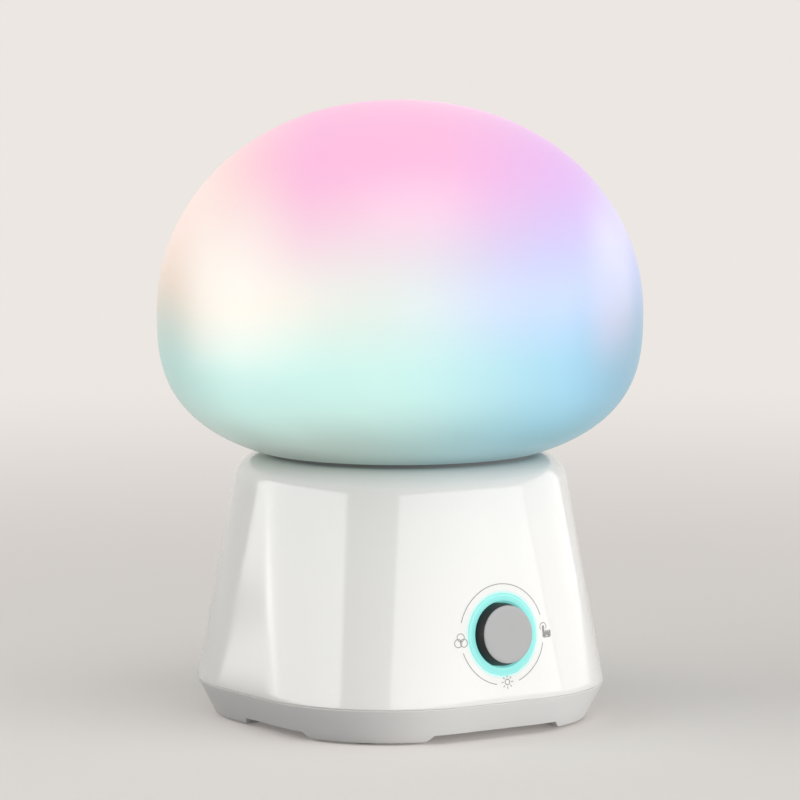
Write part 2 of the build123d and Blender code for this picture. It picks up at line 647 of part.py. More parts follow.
def colour_light():
    """One square colour light with a round well in its top."""
    top = LIGHT_BOARD_TOP + COLOUR_LIGHT_HEIGHT
    body = block(COLOUR_LIGHT_SIDE, COLOUR_LIGHT_SIDE, LIGHT_BOARD_TOP, top)
    return body - disc(COLOUR_LIGHT_WELL_RADIUS, top - COLOUR_LIGHT_WELL_DEPTH, top + OVERRUN)


def colour_leds():
    """Ring of colour lights."""
    return group(Rot(0, 0, angle) * Pos(COLOUR_LIGHT_RING, 0, 0) * colour_light()
                 for _, _, angle in ring_places(COLOUR_LIGHT_RING, COLOUR_LIGHT_COUNT))


def white_leds():
    """Inner ring of white lights."""
    top = LIGHT_BOARD_TOP + WHITE_LIGHT_HEIGHT
    light = block(WHITE_LIGHT_LENGTH, WHITE_LIGHT_WIDTH, LIGHT_BOARD_TOP, top)
    return group(Rot(0, 0, angle) * Pos(WHITE_LIGHT_RING, 0, 0) * light
                 for _, _, angle in ring_places(WHITE_LIGHT_RING, WHITE_LIGHT_COUNT))


def led_connector():
    """Socket under the light board, in the middle hole."""
    return block(SOCKET_LENGTH, SOCKET_WIDTH, SPREADER_TOP - SOCKET_HEIGHT, SPREADER_TOP)


def battery_cradle():
    """Tray for two cells, with end walls, ears and posts for the main board."""
    tray = block(2 * CRADLE_HALF_LENGTH, 2 * CRADLE_HALF_WIDTH, FLOOR_TOP, CRADLE_TOP)
    for y in (-CRADLE_EAR_Y, CRADLE_EAR_Y):
        ear_top = CRADLE_EAR_HEIGHT + CRADLE_EAR_THICKNESS
        tray += disc(CRADLE_EAR_RADIUS, CRADLE_EAR_HEIGHT, ear_top, 0, y)
        tray += block(2 * CRADLE_EAR_RADIUS, CRADLE_EAR_REACH + CRADLE_WALL, CRADLE_EAR_HEIGHT, ear_top,
                      0, math.copysign(CRADLE_EAR_Y - (CRADLE_EAR_REACH + CRADLE_WALL) / 2, y))
        tray -= screw_hole(CRADLE_SCREW, FIT_GAP, CRADLE_EAR_HEIGHT, ear_top, 0, y)
    for x, y in post_places():
        tray += block(CRADLE_END_WALL, CRADLE_POST_WIDTH, FLOOR_TOP, CRADLE_POST_TOP, x, y)
    bay_length = 2 * CRADLE_BAY_HALF
    bay_radius = CELL_RADIUS + FIT_GAP
    for y in (-CELL_AXIS_OFFSET, CELL_AXIS_OFFSET):
        tray -= Pos(0, y, CELL_AXIS_HEIGHT) * Rot(0, 90, 0) * Cylinder(bay_radius, bay_length)
        tray -= block(bay_length, 2 * bay_radius, CELL_AXIS_HEIGHT, CRADLE_TOP + OVERRUN, 0, y)
    bore_bottom = MAIN_BOARD_TOP - SMALL_SCREW["length"] - FIT_GAP
    for x, y in post_places():
        tray -= disc(SMALL_SCREW["shank"] + SLIP_GAP, bore_bottom, CRADLE_POST_TOP + OVERRUN, x, y)
    return tray


def cradle_screws():
    """Two screws through the cradle's ears."""
    top = CRADLE_EAR_HEIGHT + CRADLE_EAR_THICKNESS
    return group(Pos(0, y, top) * flipped(screw(CRADLE_SCREW)) for y in (-CRADLE_EAR_Y, CRADLE_EAR_Y))


def battery_cell(side):
    """One rechargeable cell; side is -1 or 1, and the button end swaps with it."""
    can = fillet(Cylinder(CELL_RADIUS, CELL_LENGTH).edges(), CELL_EDGE_ROUND)
    can += disc(CELL_BUTTON_RADIUS, CELL_LENGTH / 2 - SLIP_GAP, CELL_LENGTH / 2 + CELL_BUTTON_HEIGHT)
    return Pos(0, side * CELL_AXIS_OFFSET, CELL_AXIS_HEIGHT) * Rot(0, side * 90, 0) * can


def cell_contacts():
    """Spring plates at the four ends of the cells."""
    x = CRADLE_BAY_HALF - CONTACT_THICKNESS / 2
    low = CELL_AXIS_HEIGHT - CONTACT_WIDTH / 2
    high = CRADLE_TOP + CONTACT_RISE
    places = [(end, y) for end in (-x, x) for y in (-CELL_AXIS_OFFSET, CELL_AXIS_OFFSET)]
    return group(block(CONTACT_THICKNESS, CONTACT_WIDTH, low, high, end, y) for end, y in places)


def main_board():
    """Board over the cells, with a tongue to the charging inlet."""
    board = block(MAIN_BOARD_LENGTH, MAIN_BOARD_WIDTH, CRADLE_POST_TOP, MAIN_BOARD_TOP)
    front = MAIN_BOARD_WIDTH / 2 - BOARD_THICKNESS
    back = inlet_mouth() - INLET_SETBACK - HOUSING_WALL
    board += block(TONGUE_WIDTH, back - front, CRADLE_POST_TOP, MAIN_BOARD_TOP, 0, (front + back) / 2)
    for x, y in post_places():
        board -= screw_hole(SMALL_SCREW, FIT_GAP, CRADLE_POST_TOP, MAIN_BOARD_TOP, x, y)
    return board


def main_board_screws():
    """Four screws that hold the main board on the cradle's posts."""
    return group(Pos(x, y, MAIN_BOARD_TOP) * flipped(screw(SMALL_SCREW)) for x, y in post_places())


def driver_chip():
    """Controller chip on the main board."""
    return block(CHIP_SIDE, CHIP_SIDE, MAIN_BOARD_TOP, MAIN_BOARD_TOP + CHIP_HEIGHT, CHIP_X, CHIP_Y)


def power_inductor():
    """Shielded coil of the charging circuit."""
    coil = block(COIL_SIDE, COIL_SIDE, MAIN_BOARD_TOP, MAIN_BOARD_TOP + COIL_HEIGHT, COIL_X, COIL_Y)
    return fillet(coil.edges().filter_by(Axis.Z), COIL_ROUND)


def capacitors():
    """Two upright capacitors."""
    return group(disc(CAPACITOR_RADIUS, MAIN_BOARD_TOP, MAIN_BOARD_TOP + CAPACITOR_HEIGHT, CAPACITOR_X,
                      CAPACITOR_Y + index * CAPACITOR_PITCH) for index in range(2))


def wire_sockets():
    """Sockets on the main board for the light, control and battery cables."""
    places = ((LIGHT_SOCKET_X, LIGHT_SOCKET_Y), (CONTROL_SOCKET_X, CONTROL_SOCKET_Y),
              (BATTERY_SOCKET_X, BATTERY_SOCKET_Y))
    return group(block(SOCKET_LENGTH, SOCKET_WIDTH, MAIN_BOARD_TOP, SOCKET_TOP, x, y) for x, y in places)


def usb_shell():
    """Metal shell of the charging inlet, closed at its inner end."""
    mouth = inlet_mouth()
    inner = mouth - INLET_DEPTH
    shell = pill(INLET_WIDTH, INLET_HEIGHT, inner, mouth)
    return shell - pill(INLET_WIDTH - 2 * INLET_WALL, INLET_HEIGHT - 2 * INLET_WALL,
                        inner + INLET_BACK, mouth + OVERRUN)


def usb_tongue():
    """Contact tongue in the middle of the charging inlet."""
    start = inlet_mouth() - INLET_DEPTH + INLET_BACK
    middle = inlet_height()
    return block(INLET_TONGUE_WIDTH, INLET_TONGUE_LENGTH, middle - INLET_TONGUE_HEIGHT / 2,
                 middle + INLET_TONGUE_HEIGHT / 2, 0, start + INLET_TONGUE_LENGTH / 2)


def control_board():
    """Board behind the knob that carries the encoder and the ring lights."""
    board = block(CONTROL_BOARD_LENGTH, CONTROL_BOARD_HEIGHT, -ENCODER_FRONT, -CONTROL_BOARD_DEPTH)
    board -= disc(BUSHING_RADIUS + FIT_GAP, -ENCODER_FRONT - OVERRUN, -CONTROL_BOARD_DEPTH + OVERRUN)
    for x in (-CONTROL_BOSS_X, CONTROL_BOSS_X):
        board -= screw_hole(SMALL_SCREW, FIT_GAP, -ENCODER_FRONT, -CONTROL_BOARD_DEPTH, x)
    return knob_plane() * board


def control_board_screws():
    """Two screws that hold the control board on its bosses."""
    return group(knob_plane() * Pos(x, 0, -ENCODER_FRONT) * screw(SMALL_SCREW)
                 for x in (-CONTROL_BOSS_X, CONTROL_BOSS_X))


def control_plug():
    """Cable socket on the back of the control board."""
    return knob_plane() * block(SOCKET_WIDTH, SOCKET_WIDTH, -ENCODER_FRONT - SOCKET_HEIGHT, -ENCODER_FRONT,
                                CONTROL_PLUG_X, CONTROL_PLUG_Y)


def ring_leds():
    """Small lights behind the light ring."""
    front = RING_LIGHT_HEIGHT - CONTROL_BOARD_DEPTH
    light = block(RING_LIGHT_LENGTH, RING_LIGHT_WIDTH, -CONTROL_BOARD_DEPTH, front)
    return group(knob_plane() * Rot(0, 0, angle) * Pos(RING_LIGHT_RING, 0, 0) * light
                 for _, _, angle in ring_places(RING_LIGHT_RING, RING_LIGHT_COUNT))


def light_ring():
    """Clear ring round the knob, held behind the front wall by its flange."""
    flange_front = -HOUSING_WALL - RING_SEAT_GAP
    body = disc(RING_RADIUS, -RING_DEPTH, RING_REACH)
    body = fillet(body.edges().sort_by(Axis.Z)[-1], RING_EDGE_ROUND)
    body += disc(RING_FLANGE_RADIUS, flange_front - RING_FLANGE_THICKNESS, flange_front)
    return knob_plane() * (body - disc(RING_BORE, -RING_DEPTH - OVERRUN, RING_REACH + OVERRUN))


def encoder_case():
    """Square case of the encoder, hollow for its rotor and push switch."""
    case = block(ENCODER_SIDE, ENCODER_SIDE, -ENCODER_BACK, -ENCODER_FRONT)
    case -= disc(SHAFT_RADIUS + SLIP_GAP, -ROTOR_FRONT - OVERRUN, -ENCODER_FRONT + OVERRUN)
    case -= disc(ROTOR_RADIUS + FIT_GAP, -ROTOR_BACK - FIT_GAP, -ROTOR_FRONT + FIT_GAP)
    case -= disc(SWITCH_WELL_RADIUS, -SWITCH_FRONT - SWITCH_THICKNESS, -ROTOR_BACK)
    return knob_plane() * case


def encoder_bushing():
    """Threaded neck of the encoder, through the control board."""
    front = BUSHING_REACH - ENCODER_FRONT
    return knob_plane() * ring(BUSHING_RADIUS, SHAFT_RADIUS + SLIP_GAP, -ENCODER_FRONT, front)


def bushing_washer():
    """Washer between the control board and the nut."""
    return knob_plane() * ring(WASHER_RADIUS, BUSHING_RADIUS + SLIP_GAP, -CONTROL_BOARD_DEPTH,
                               WASHER_THICKNESS - CONTROL_BOARD_DEPTH)


def bushing_nut():
    """Flat nut that clamps the encoder to the control board."""
    bottom = WASHER_THICKNESS - CONTROL_BOARD_DEPTH
    hexagon = Pos(0, 0, bottom) * RegularPolygon(NUT_ACROSS_FLATS / 2, 6, major_radius=False)
    nut = extrude(hexagon, amount=NUT_THICKNESS)
    return knob_plane() * (nut - disc(BUSHING_RADIUS + SLIP_GAP, bottom - OVERRUN, OVERRUN))


def encoder_rotor():
    """Wheel inside the encoder that turns with the shaft."""
    return knob_plane() * ring(ROTOR_RADIUS, SHAFT_RADIUS + SLIP_GAP, -ROTOR_BACK, -ROTOR_FRONT)


def switch_dome():
    """Snap disc that the shaft presses."""
    return knob_plane() * disc(SWITCH_RADIUS, -SWITCH_FRONT - SWITCH_THICKNESS, -SWITCH_FRONT)


def encoder_shaft():
    """Shaft from the knob to the push switch, with a flat for the knob."""
    shaft = disc(SHAFT_RADIUS, -SHAFT_BACK, SHAFT_FRONT)
    flat_depth = SHAFT_RADIUS
    shaft -= block(2 * SHAFT_RADIUS + OVERRUN, flat_depth, SHAFT_FRONT - SHAFT_FLAT_LENGTH / 2,
                   SHAFT_FRONT + OVERRUN, 0, SHAFT_RADIUS - SHAFT_FLAT_DEPTH + flat_depth / 2)
    return knob_plane() * shaft


def knob_body():
    """Dark cup of the knob with a tapered rim and a hub for the shaft."""
    floor = KNOB_REACH - CAP_SPIGOT_DEPTH - KNOB_END_WALL
    rim = Pos(0, 0, KNOB_REACH / 2) * Cone(KNOB_RADIUS, KNOB_FRONT_RADIUS, KNOB_REACH)
    cup = disc(KNOB_RADIUS, -KNOB_DEPTH, 0) + rim
    cup -= disc(KNOB_RADIUS - KNOB_WALL, -KNOB_DEPTH - OVERRUN, floor)
    cup += disc(KNOB_HUB_RADIUS, -KNOB_HUB_DEPTH, floor + SLIP_GAP)
    cup -= disc(SHAFT_RADIUS + SLIP_GAP, -KNOB_HUB_DEPTH - OVERRUN, SHAFT_FRONT + SLIP_GAP)
    cup -= disc(CAP_SPIGOT_RADIUS + FIT_GAP, KNOB_REACH - CAP_SPIGOT_DEPTH, KNOB_REACH + OVERRUN)
    return knob_plane() * cup


def knob_cap():
    """Grey face plate set into the front of the knob."""
    plate = disc(CAP_RADIUS, KNOB_REACH, KNOB_REACH + CAP_THICKNESS)
    plate = chamfer(plate.edges().sort_by(Axis.Z)[-1], CAP_BEVEL)
    plate += disc(CAP_SPIGOT_RADIUS, KNOB_REACH - CAP_SPIGOT_DEPTH, KNOB_REACH + SLIP_GAP)
    return knob_plane() * plate


def bend_radii(points):
    """Largest arc that each corner of a route allows."""
    radii = []
    for before, corner, after in zip(points, points[1:], points[2:]):
        first, second = corner - before, after - corner
        half_turn = math.radians(first.get_angle(second)) / 2
        radii.append(CABLE_BEND_SHARE * min(first.length, second.length) / math.tan(half_turn))
    return radii


def cable(name, points, diameter):
    """Round cable along straight runs joined by arcs."""
    points = [Vector(*point) for point in points]
    radii = bend_radii(points)
    path = FilletPolyline(*points, radius=radii) if radii else Line(*points)
    start = Plane(origin=points[0], z_dir=points[1] - points[0])
    tube = sweep(start * Circle(diameter / 2), path=path)
    expected = math.pi * diameter ** 2 / 4 * path.length
    print(name, "bend radii", [round(radius, 2) for radius in radii], "length", round(path.length, 1),
          "volume share", round(tube.volume / expected, 4))
    return tube


def led_cable():
    """Cable from the main board up to the light board."""
    low, high = SOCKET_TOP, SPREADER_TOP - SOCKET_HEIGHT
    rise = high - low
    return cable("led_cable", [(LIGHT_SOCKET_X, LIGHT_SOCKET_Y, low),
                               (LIGHT_SOCKET_X, LIGHT_SOCKET_Y, low + rise / 3),
                               (0, 0, high - rise / 3), (0, 0, high)], LIGHT_CABLE_DIAMETER)


def control_cable():
    """Cable from the control board back to the main board."""
    start = knob_point(CONTROL_PLUG_X, CONTROL_PLUG_Y, -ENCODER_FRONT - SOCKET_HEIGHT)
    out = knob_point(CONTROL_PLUG_X, CONTROL_PLUG_Y, -ENCODER_FRONT - SOCKET_HEIGHT - CONTROL_CABLE_RUN)
    above = SOCKET_TOP + CONTROL_CABLE_RISE
    x, y = CONTROL_SOCKET_X, CONTROL_SOCKET_Y
    points = [start, out, (x, out.Y + CONTROL_CABLE_LEAN, above), (x, y, above), (x, y, SOCKET_TOP)]
    return cable("control_cable", points, CONTROL_CABLE_DIAMETER)


def battery_lead(side, name):
    """Lead from one end contact, round the board's edge and down into its socket."""
    outside = -CRADLE_HALF_LENGTH - MAIN_BOARD_EDGE - BATTERY_LEAD_OUTSIDE
    start = CRADLE_TOP + BATTERY_LEAD_START + BATTERY_LEAD_DIAMETER / 2
    tab = side * (CELL_AXIS_OFFSET - BATTERY_LEAD_SHIFT)
    y = side * BATTERY_LEAD_PITCH / 2
    top = SOCKET_TOP + BATTERY_LEAD_RISE
    return cable(name, [(-CRADLE_BAY_HALF, tab, start), (outside, tab, start),
                        (outside + BATTERY_LEAD_LEAN, y, top), (BATTERY_SOCKET_X, y, top),
                        (BATTERY_SOCKET_X, y, SOCKET_TOP)], BATTERY_LEAD_DIAMETER)


PARTS = {
    "dome_shade": dome_shade,
    "dome_gasket": dome_gasket,
    "upper_housing": upper_housing,
    "lower_plinth": lower_plinth,
    "housing_screws": housing_screws,
    "led_carrier": led_carrier,
    "carrier_screws": carrier_screws,
    "heat_spreader": heat_spreader,
    "led_board": led_board,
    "led_board_screws": led_board_screws,
    "colour_leds": colour_leds,
    "white_leds": white_leds,
    "led_connector": led_connector,
    "battery_cradle": battery_cradle,
    "cradle_screws": cradle_screws,
    "cell_contacts": cell_contacts,
    "main_board": main_board,
    "main_board_screws": main_board_screws,
    "driver_chip": driver_chip,
    "power_inductor": power_inductor,
    "capacitors": capacitors,
    "wire_sockets": wire_sockets,
    "usb_shell": usb_shell,
    "usb_tongue": usb_tongue,
    "control_board": control_board,
    "control_board_screws": control_board_screws,
    "control_plug": control_plug,
    "ring_leds": ring_leds,
    "light_ring": light_ring,
    "encoder_case": encoder_case,
    "encoder_bushing": encoder_bushing,
    "bushing_washer": bushing_washer,
    "bushing_nut": bushing_nut,
    "encoder_rotor": encoder_rotor,
    "switch_dome": switch_dome,
    "encoder_shaft": encoder_shaft,
    "knob_body": knob_body,
    "knob_cap": knob_cap,
    "led_cable": led_cable,
    "control_cable": control_cable,
}

os.makedirs("parts", exist_ok=True)
for part_name, make_part in PARTS.items():
    export_step(make_part(), f"parts/{part_name}.step")
for number, (pad_x, pad_y) in enumerate(square_places(CORNER_BOSS_OFFSET), start=1):
    export_step(foot_pad(pad_x, pad_y), f"parts/foot_pad_{number}.step")
for number, cell_side in enumerate((-1, 1), start=1):
    export_step(battery_cell(cell_side), f"parts/battery_cell_{number}.step")
for cell_side, lead_name in ((-1, "battery_lead_red"), (1, "battery_lead_black")):
    export_step(battery_lead(cell_side, lead_name), f"parts/{lead_name}.step")
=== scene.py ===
"""A desk night light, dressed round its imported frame.

A frosted dome glows through soft colours on a gloss-white tapered base with a grey plinth.
One knob with a glowing ring sits on the front. Sizes are in millimetres until a mesh is made,
+Z is up and the knob is on the -Y side.
"""

import json
import logging
import math
from dataclasses import dataclass, field
from enum import Enum
from typing import Any, Iterable, Sequence

import bpy
from mathutils import Matrix, Vector

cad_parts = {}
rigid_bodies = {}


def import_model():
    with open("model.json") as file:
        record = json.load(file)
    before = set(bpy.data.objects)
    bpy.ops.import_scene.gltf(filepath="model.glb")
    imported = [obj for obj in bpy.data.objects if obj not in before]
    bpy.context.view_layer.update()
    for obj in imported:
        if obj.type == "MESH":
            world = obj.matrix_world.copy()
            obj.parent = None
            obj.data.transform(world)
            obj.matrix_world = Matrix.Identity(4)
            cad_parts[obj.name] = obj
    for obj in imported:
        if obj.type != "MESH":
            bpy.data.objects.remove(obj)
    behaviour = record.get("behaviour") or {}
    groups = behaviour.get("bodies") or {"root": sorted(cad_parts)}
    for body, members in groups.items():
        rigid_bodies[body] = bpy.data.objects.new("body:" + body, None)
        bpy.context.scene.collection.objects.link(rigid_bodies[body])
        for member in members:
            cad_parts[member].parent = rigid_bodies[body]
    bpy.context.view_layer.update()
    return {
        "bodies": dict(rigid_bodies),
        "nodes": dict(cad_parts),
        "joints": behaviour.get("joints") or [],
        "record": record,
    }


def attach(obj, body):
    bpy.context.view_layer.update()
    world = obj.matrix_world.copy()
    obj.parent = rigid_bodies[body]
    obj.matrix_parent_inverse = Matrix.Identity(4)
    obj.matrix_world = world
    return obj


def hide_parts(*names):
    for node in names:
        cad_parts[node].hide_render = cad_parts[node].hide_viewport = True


LOG = logging.getLogger("night_light")
MM = 0.001
PER_METRE = 1000.0
Tint = tuple[float, float, float]
Flat = tuple[float, float]
Spot = tuple[float, float, float]
# X, Y and the direction of the wall's normal in radians.
WallSpot = tuple[float, float, float]
Face = tuple[int, ...]
# Height of the knob's middle, in millimetres.
KNOB_HEIGHT = 25.8
# Angle in degrees from which an edge is sharp.
CREASE = 32.0


def screen(red: float, green: float, blue: float) -> Tint:
    """Linear colour of an 8-bit screen colour.

    Args:
        red: Red from 0 to 255.
        green: Green from 0 to 255.
        blue: Blue from 0 to 255.

    Returns:
        The three linear values.
    """
    shares = (channel / 255 for channel in (red, green, blue))
    linear = [s / 12.92 if s <= 0.04045 else ((s + 0.055) / 1.055) ** 2.4 for s in shares]
    return linear[0], linear[1], linear[2]


def link(name: str, data: bpy.types.ID) -> bpy.types.Object:
    """Put new data into the scene as an object.

    Args:
        name: The object's name.
        data: Its mesh, lamp or camera.

    Returns:
        The object.
    """
    item = bpy.data.objects.new(name, data)
    bpy.context.scene.collection.objects.link(item)
    return item


class Sock:
    """A value in a node tree. Its operators add Math nodes."""

    def __init__(self, bench: "Bench", out: bpy.types.NodeSocket) -> None:
        """Keep the bench and the output socket."""
        self.bench = bench
        self.out = out

    def _math(self, operation: str, other: "Sock | float | None" = None,
              flip: bool = False) -> "Sock":
        """Add one Math node.

        Args:
            operation: The node's operation.
            other: The second value, if the operation takes two.
            flip: Whether the second value comes first.

        Returns:
            The node's result.
        """
        values: list[Any] = [self] if other is None else [self, other]
        if flip:
            values.reverse()
        return self.bench.add("ShaderNodeMath", {"operation": operation}, dict(enumerate(values)))

    def __add__(self, other: "Sock | float") -> "Sock":
        """Sum."""
        return self._math("ADD", other)

    __radd__ = __add__

    def __sub__(self, other: "Sock | float") -> "Sock":
        """Difference."""
        return self._math("SUBTRACT", other)

    def __rsub__(self, other: float) -> "Sock":
        """Difference from a number."""
        return self._math("SUBTRACT", other, True)

    def __mul__(self, other: "Sock | float") -> "Sock":
        """Product."""
        return self._math("MULTIPLY", other)

    __rmul__ = __mul__

    def __truediv__(self, other: "Sock | float") -> "Sock":
        """Quotient."""
        return self._math("DIVIDE", other)

    def __pow__(self, other: "Sock | float") -> "Sock":
        """Power."""
        return self._math("POWER", other)

    def __abs__(self) -> "Sock":
        """Size without its sign."""
        return self._math("ABSOLUTE")

    def floor(self) -> "Sock":
        """Whole part."""
        return self._math("FLOOR")

    def root(self) -> "Sock":
        """Square root."""
        return self._math("SQRT")

    def sine(self) -> "Sock":
        """Sine of an angle in radians."""
        return self._math("SINE")

    def cosine(self) -> "Sock":
        """Cosine of an angle in radians."""
        return self._math("COSINE")

    def ease(self, low: float, high: float) -> "Sock":
        """Smooth step from 0 at one value to 1 at another.

        Args:
            low: Where the step starts.
            high: Where the step ends.

        Returns:
            A value from 0 to 1.
        """
        settings = {"interpolation_type": "SMOOTHSTEP"}
        if low < high:
            return self.bench.add("ShaderNodeMapRange", settings,
                                  {"Value": self, "From Min": low, "From Max": high})
        return 1 - self.ease(high, low)

    def output(self, key: "str | int") -> "Sock":
        """Another output of the same node."""
        return Sock(self.bench, self.out.node.outputs[key])


class Bench:
    """Adds nodes to one tree and links them."""

    def __init__(self, tree: bpy.types.NodeTree) -> None:
        """Keep the tree."""
        self.tree = tree

    def node(self, kind: str, settings: "dict[str, Any] | None" = None,
             inputs: "dict[Any, Any] | None" = None) -> bpy.types.Node:
        """Add one node.

        Args:
            kind: The node's type.
            settings: Attributes, which are set before anything else.
            inputs: Values or links by socket name or number.

        Returns:
            The node.
        """
        node = self.tree.nodes.new(kind)
        for key, value in (settings or {}).items():
            setattr(node, key, value)
        for key, value in (inputs or {}).items():
            if isinstance(value, Sock):
                self.tree.links.new(value.out, node.inputs[key])
            else:
                node.inputs[key].default_value = value
        return node

    def add(self, kind: str, settings: "dict[str, Any] | None" = None,
            inputs: "dict[Any, Any] | None" = None, output: "str | int" = 0) -> Sock:
        """Add one node and read one of its outputs.

        Args:
            kind: The node's type.
            settings: Attributes, which are set before anything else.
            inputs: Values or links by socket name or number.
            output: The output that is handed back.

        Returns:
            That output as a value.
        """
        return Sock(self, self.node(kind, settings, inputs).outputs[output])


class Paint(Bench):
    """The node tree of one finish."""

    def __init__(self, name: str) -> None:
        """Start an empty finish of that name."""
        self.material = bpy.data.materials.new(name)
        self.material.use_nodes = True
        super().__init__(self.material.node_tree)
        self.tree.nodes.clear()

    def place(self, stretch: Spot = (1.0, 1.0, 1.0)) -> Sock:
        """Place on the object in millimetres.

        Args:
            stretch: How much each axis is multiplied.

        Returns:
            The vector.
        """
        spot = self.add("ShaderNodeTexCoord", output="Object")
        scale = tuple(PER_METRE * share for share in stretch)
        return self.add("ShaderNodeVectorMath", {"operation": "MULTIPLY"}, {0: spot, 1: scale})

    def axes(self, vector: Sock) -> tuple[Sock, Sock, Sock]:
        """The three parts of a vector."""
        parts = self.add("ShaderNodeSeparateXYZ", inputs={0: vector})
        return parts, parts.output(1), parts.output(2)

    def noise(self, vector: Sock, size: float, detail: float = 2.0) -> Sock:
        """Smooth noise from 0 to 1.

        Args:
            vector: Where it is read.
            size: Size of its features in the vector's units.
            detail: How many finer layers it has.

        Returns:
            The noise.
        """
        return self.add("ShaderNodeTexNoise",
                        inputs={"Vector": vector, "Scale": 1 / size, "Detail": detail})

    def off_knob(self, place: Sock) -> Sock:
        """Distance from the knob's middle, across the front, in millimetres."""
        x, _, z = self.axes(place)
        return (x * x + (z - KNOB_HEIGHT) ** 2.0).root()

    def cells(self, vector: Sock, size: float) -> Sock:
        """Distance to the nearest of scattered points, as a share of their spacing."""
        return self.add("ShaderNodeTexVoronoi", inputs={"Vector": vector, "Scale": 1 / size})

    def mix(self, share: "Sock | float", first: "Sock | Tint", second: "Sock | Tint") -> Sock:
        """Blend of two colours.

        Args:
            share: How much of the second there is.
            first: The first colour.
            second: The second colour.

        Returns:
            The colour.
        """
        pair = [c if isinstance(c, Sock) else (*c, 1.0) for c in (first, second)]
        return self.add("ShaderNodeMix", {"data_type": "RGBA"},
                        {0: share, 6: pair[0], 7: pair[1]}, 2)

    def shade(self, colour: "Sock | Tint", strength: "Sock | float") -> Sock:
        """A colour times a number."""
        vector = colour if isinstance(colour, Sock) else tuple(colour)
        return self.add("ShaderNodeVectorMath", {"operation": "SCALE"},
                        {0: vector, "Scale": strength})

    def coat(self, colour: "Sock | Tint", roughness: "Sock | float",
             fixed: "dict[str, Any] | None" = None, height: "Sock | None" = None,
             depth: float = 0.0, **others: Any) -> bpy.types.Material:
        """Finish the tree with one surface shader.

        Args:
            colour: Base colour.
            roughness: Roughness.
            fixed: Numbers set on the shader's own sockets.
            height: Relief from 0 to 1.
            depth: Depth of that relief in millimetres.
            others: Links into other sockets, with spaces in their names as underscores.

        Returns:
            The material.
        """
        inputs: dict[str, Any] = {"Roughness": roughness, **(fixed or {})}
        inputs["Base Color"] = colour if isinstance(colour, Sock) else (*colour, 1.0)
        inputs |= {key.replace("_", " "): value for key, value in others.items()}
        if height is not None:
            inputs["Normal"] = self.add("ShaderNodeBump",
                                        inputs={"Distance": depth * MM, "Height": height})
        return self.end(self.add("ShaderNodeBsdfPrincipled", inputs=inputs))

    def end(self, surface: Sock) -> bpy.types.Material:
        """Link a surface to the output and hand back the material."""
        self.node("ShaderNodeOutputMaterial", inputs={"Surface": surface})
        return self.material


@dataclass(frozen=True)
class Moulded:
    """Moulded plastic or rubber with faint flow clouds and a fine grain."""

    name: str
    tint: Tint
    roughness: float
    grain: float = 0.35
    depth: float = 0.004
    clouds: float = 0.03
    shine: float = 0.5
    cloud_size: float = 9.0
    patchy: float = 0.12

    def make(self) -> bpy.types.Material:
        """Build the finish."""
        paint = Paint(self.name)
        place = paint.place()
        cloud = paint.noise(place, self.cloud_size, 3.0) - 0.5
        speck = paint.noise(place, self.grain, 1.0)
        colour = paint.shade(self.tint, 1 + (cloud + (speck - 0.5)) * self.clouds)
        roughness = self.roughness + cloud * (self.patchy * self.roughness)
        return paint.coat(colour, roughness, {"Specular IOR Level": self.shine}, speck, self.depth)


@dataclass(frozen=True)
class Drawn:
    """Drawn, stamped or turned metal with fine streaks along one axis.

    Streaks and stains each change the colour by one share and the roughness by another.
    """

    name: str
    tint: Tint
    roughness: float
    stretch: Spot = (1.0, 1.0, 0.08)
    depth: float = 0.003
    streak_size: float = 0.3
    streaks: Flat = (0.12, 0.16)
    stain_size: float = 4.0
    stains: Flat = (0.08, 0.06)

    def make(self) -> bpy.types.Material:
        """Build the finish."""
        paint = Paint(self.name)
        relief = paint.noise(paint.place(self.stretch), self.streak_size, 3.0)
        streak = relief - 0.5
        stain = paint.noise(paint.place(), self.stain_size, 2.0) - 0.5
        colour = paint.shade(self.tint, 1 + streak * self.streaks[0] + stain * self.stains[0])
        roughness = self.roughness + streak * self.streaks[1] + stain * self.stains[1]
        return paint.coat(colour, roughness, {"Metallic": 1.0}, relief, self.depth)


@dataclass(frozen=True)
class Circuit:
    """Solder mask over copper tracks, with small plated holes.

    The edges of tracks, rings and holes are shares of a wave's height or of the holes' spacing.
    """

    name: str
    mask: Tint
    track: Tint
    plating: Tint = screen(214, 190, 120)
    drill: Tint = screen(20, 20, 18)
    pitch: float = 2.4
    stretch: float = 0.16
    waves: float = 9.0
    track_edge: Flat = (0.45, 0.2)
    swap_edge: float = 0.02
    hole_pitch: float = 3.1
    ring_edge: Flat = (0.17, 0.14)
    hole_edge: Flat = (0.09, 0.07)
    roughness: float = 0.34
    relief: float = 0.03

    def make(self) -> bpy.types.Material:
        """Build the finish."""
        paint = Paint(self.name)
        along, across = (paint.noise(paint.place(stretch), self.pitch, 0.0)
                         for stretch in ((self.stretch, 1.0, 1.0), (1.0, self.stretch, 1.0)))
        swap = (across - 0.5).ease(-self.swap_edge, self.swap_edge)
        tracks = [abs((way * self.waves).sine()).ease(*self.track_edge) for way in (along, across)]
        stripe = tracks[0] * swap + tracks[1] * (1 - swap)
        hole = paint.cells(paint.place(), self.hole_pitch)
        ring = hole.ease(*self.ring_edge)
        colour = paint.mix(stripe * 0.8, self.mask, self.track)
        colour = paint.mix(ring, colour, self.plating)
        colour = paint.mix(hole.ease(*self.hole_edge), colour, self.drill)
        return paint.coat(colour, self.roughness - ring * 0.08,
                          {"Coat Weight": 0.3, "Coat Roughness": 0.2},
                          stripe * 0.7 + ring, self.relief, Metallic=ring * 0.8)


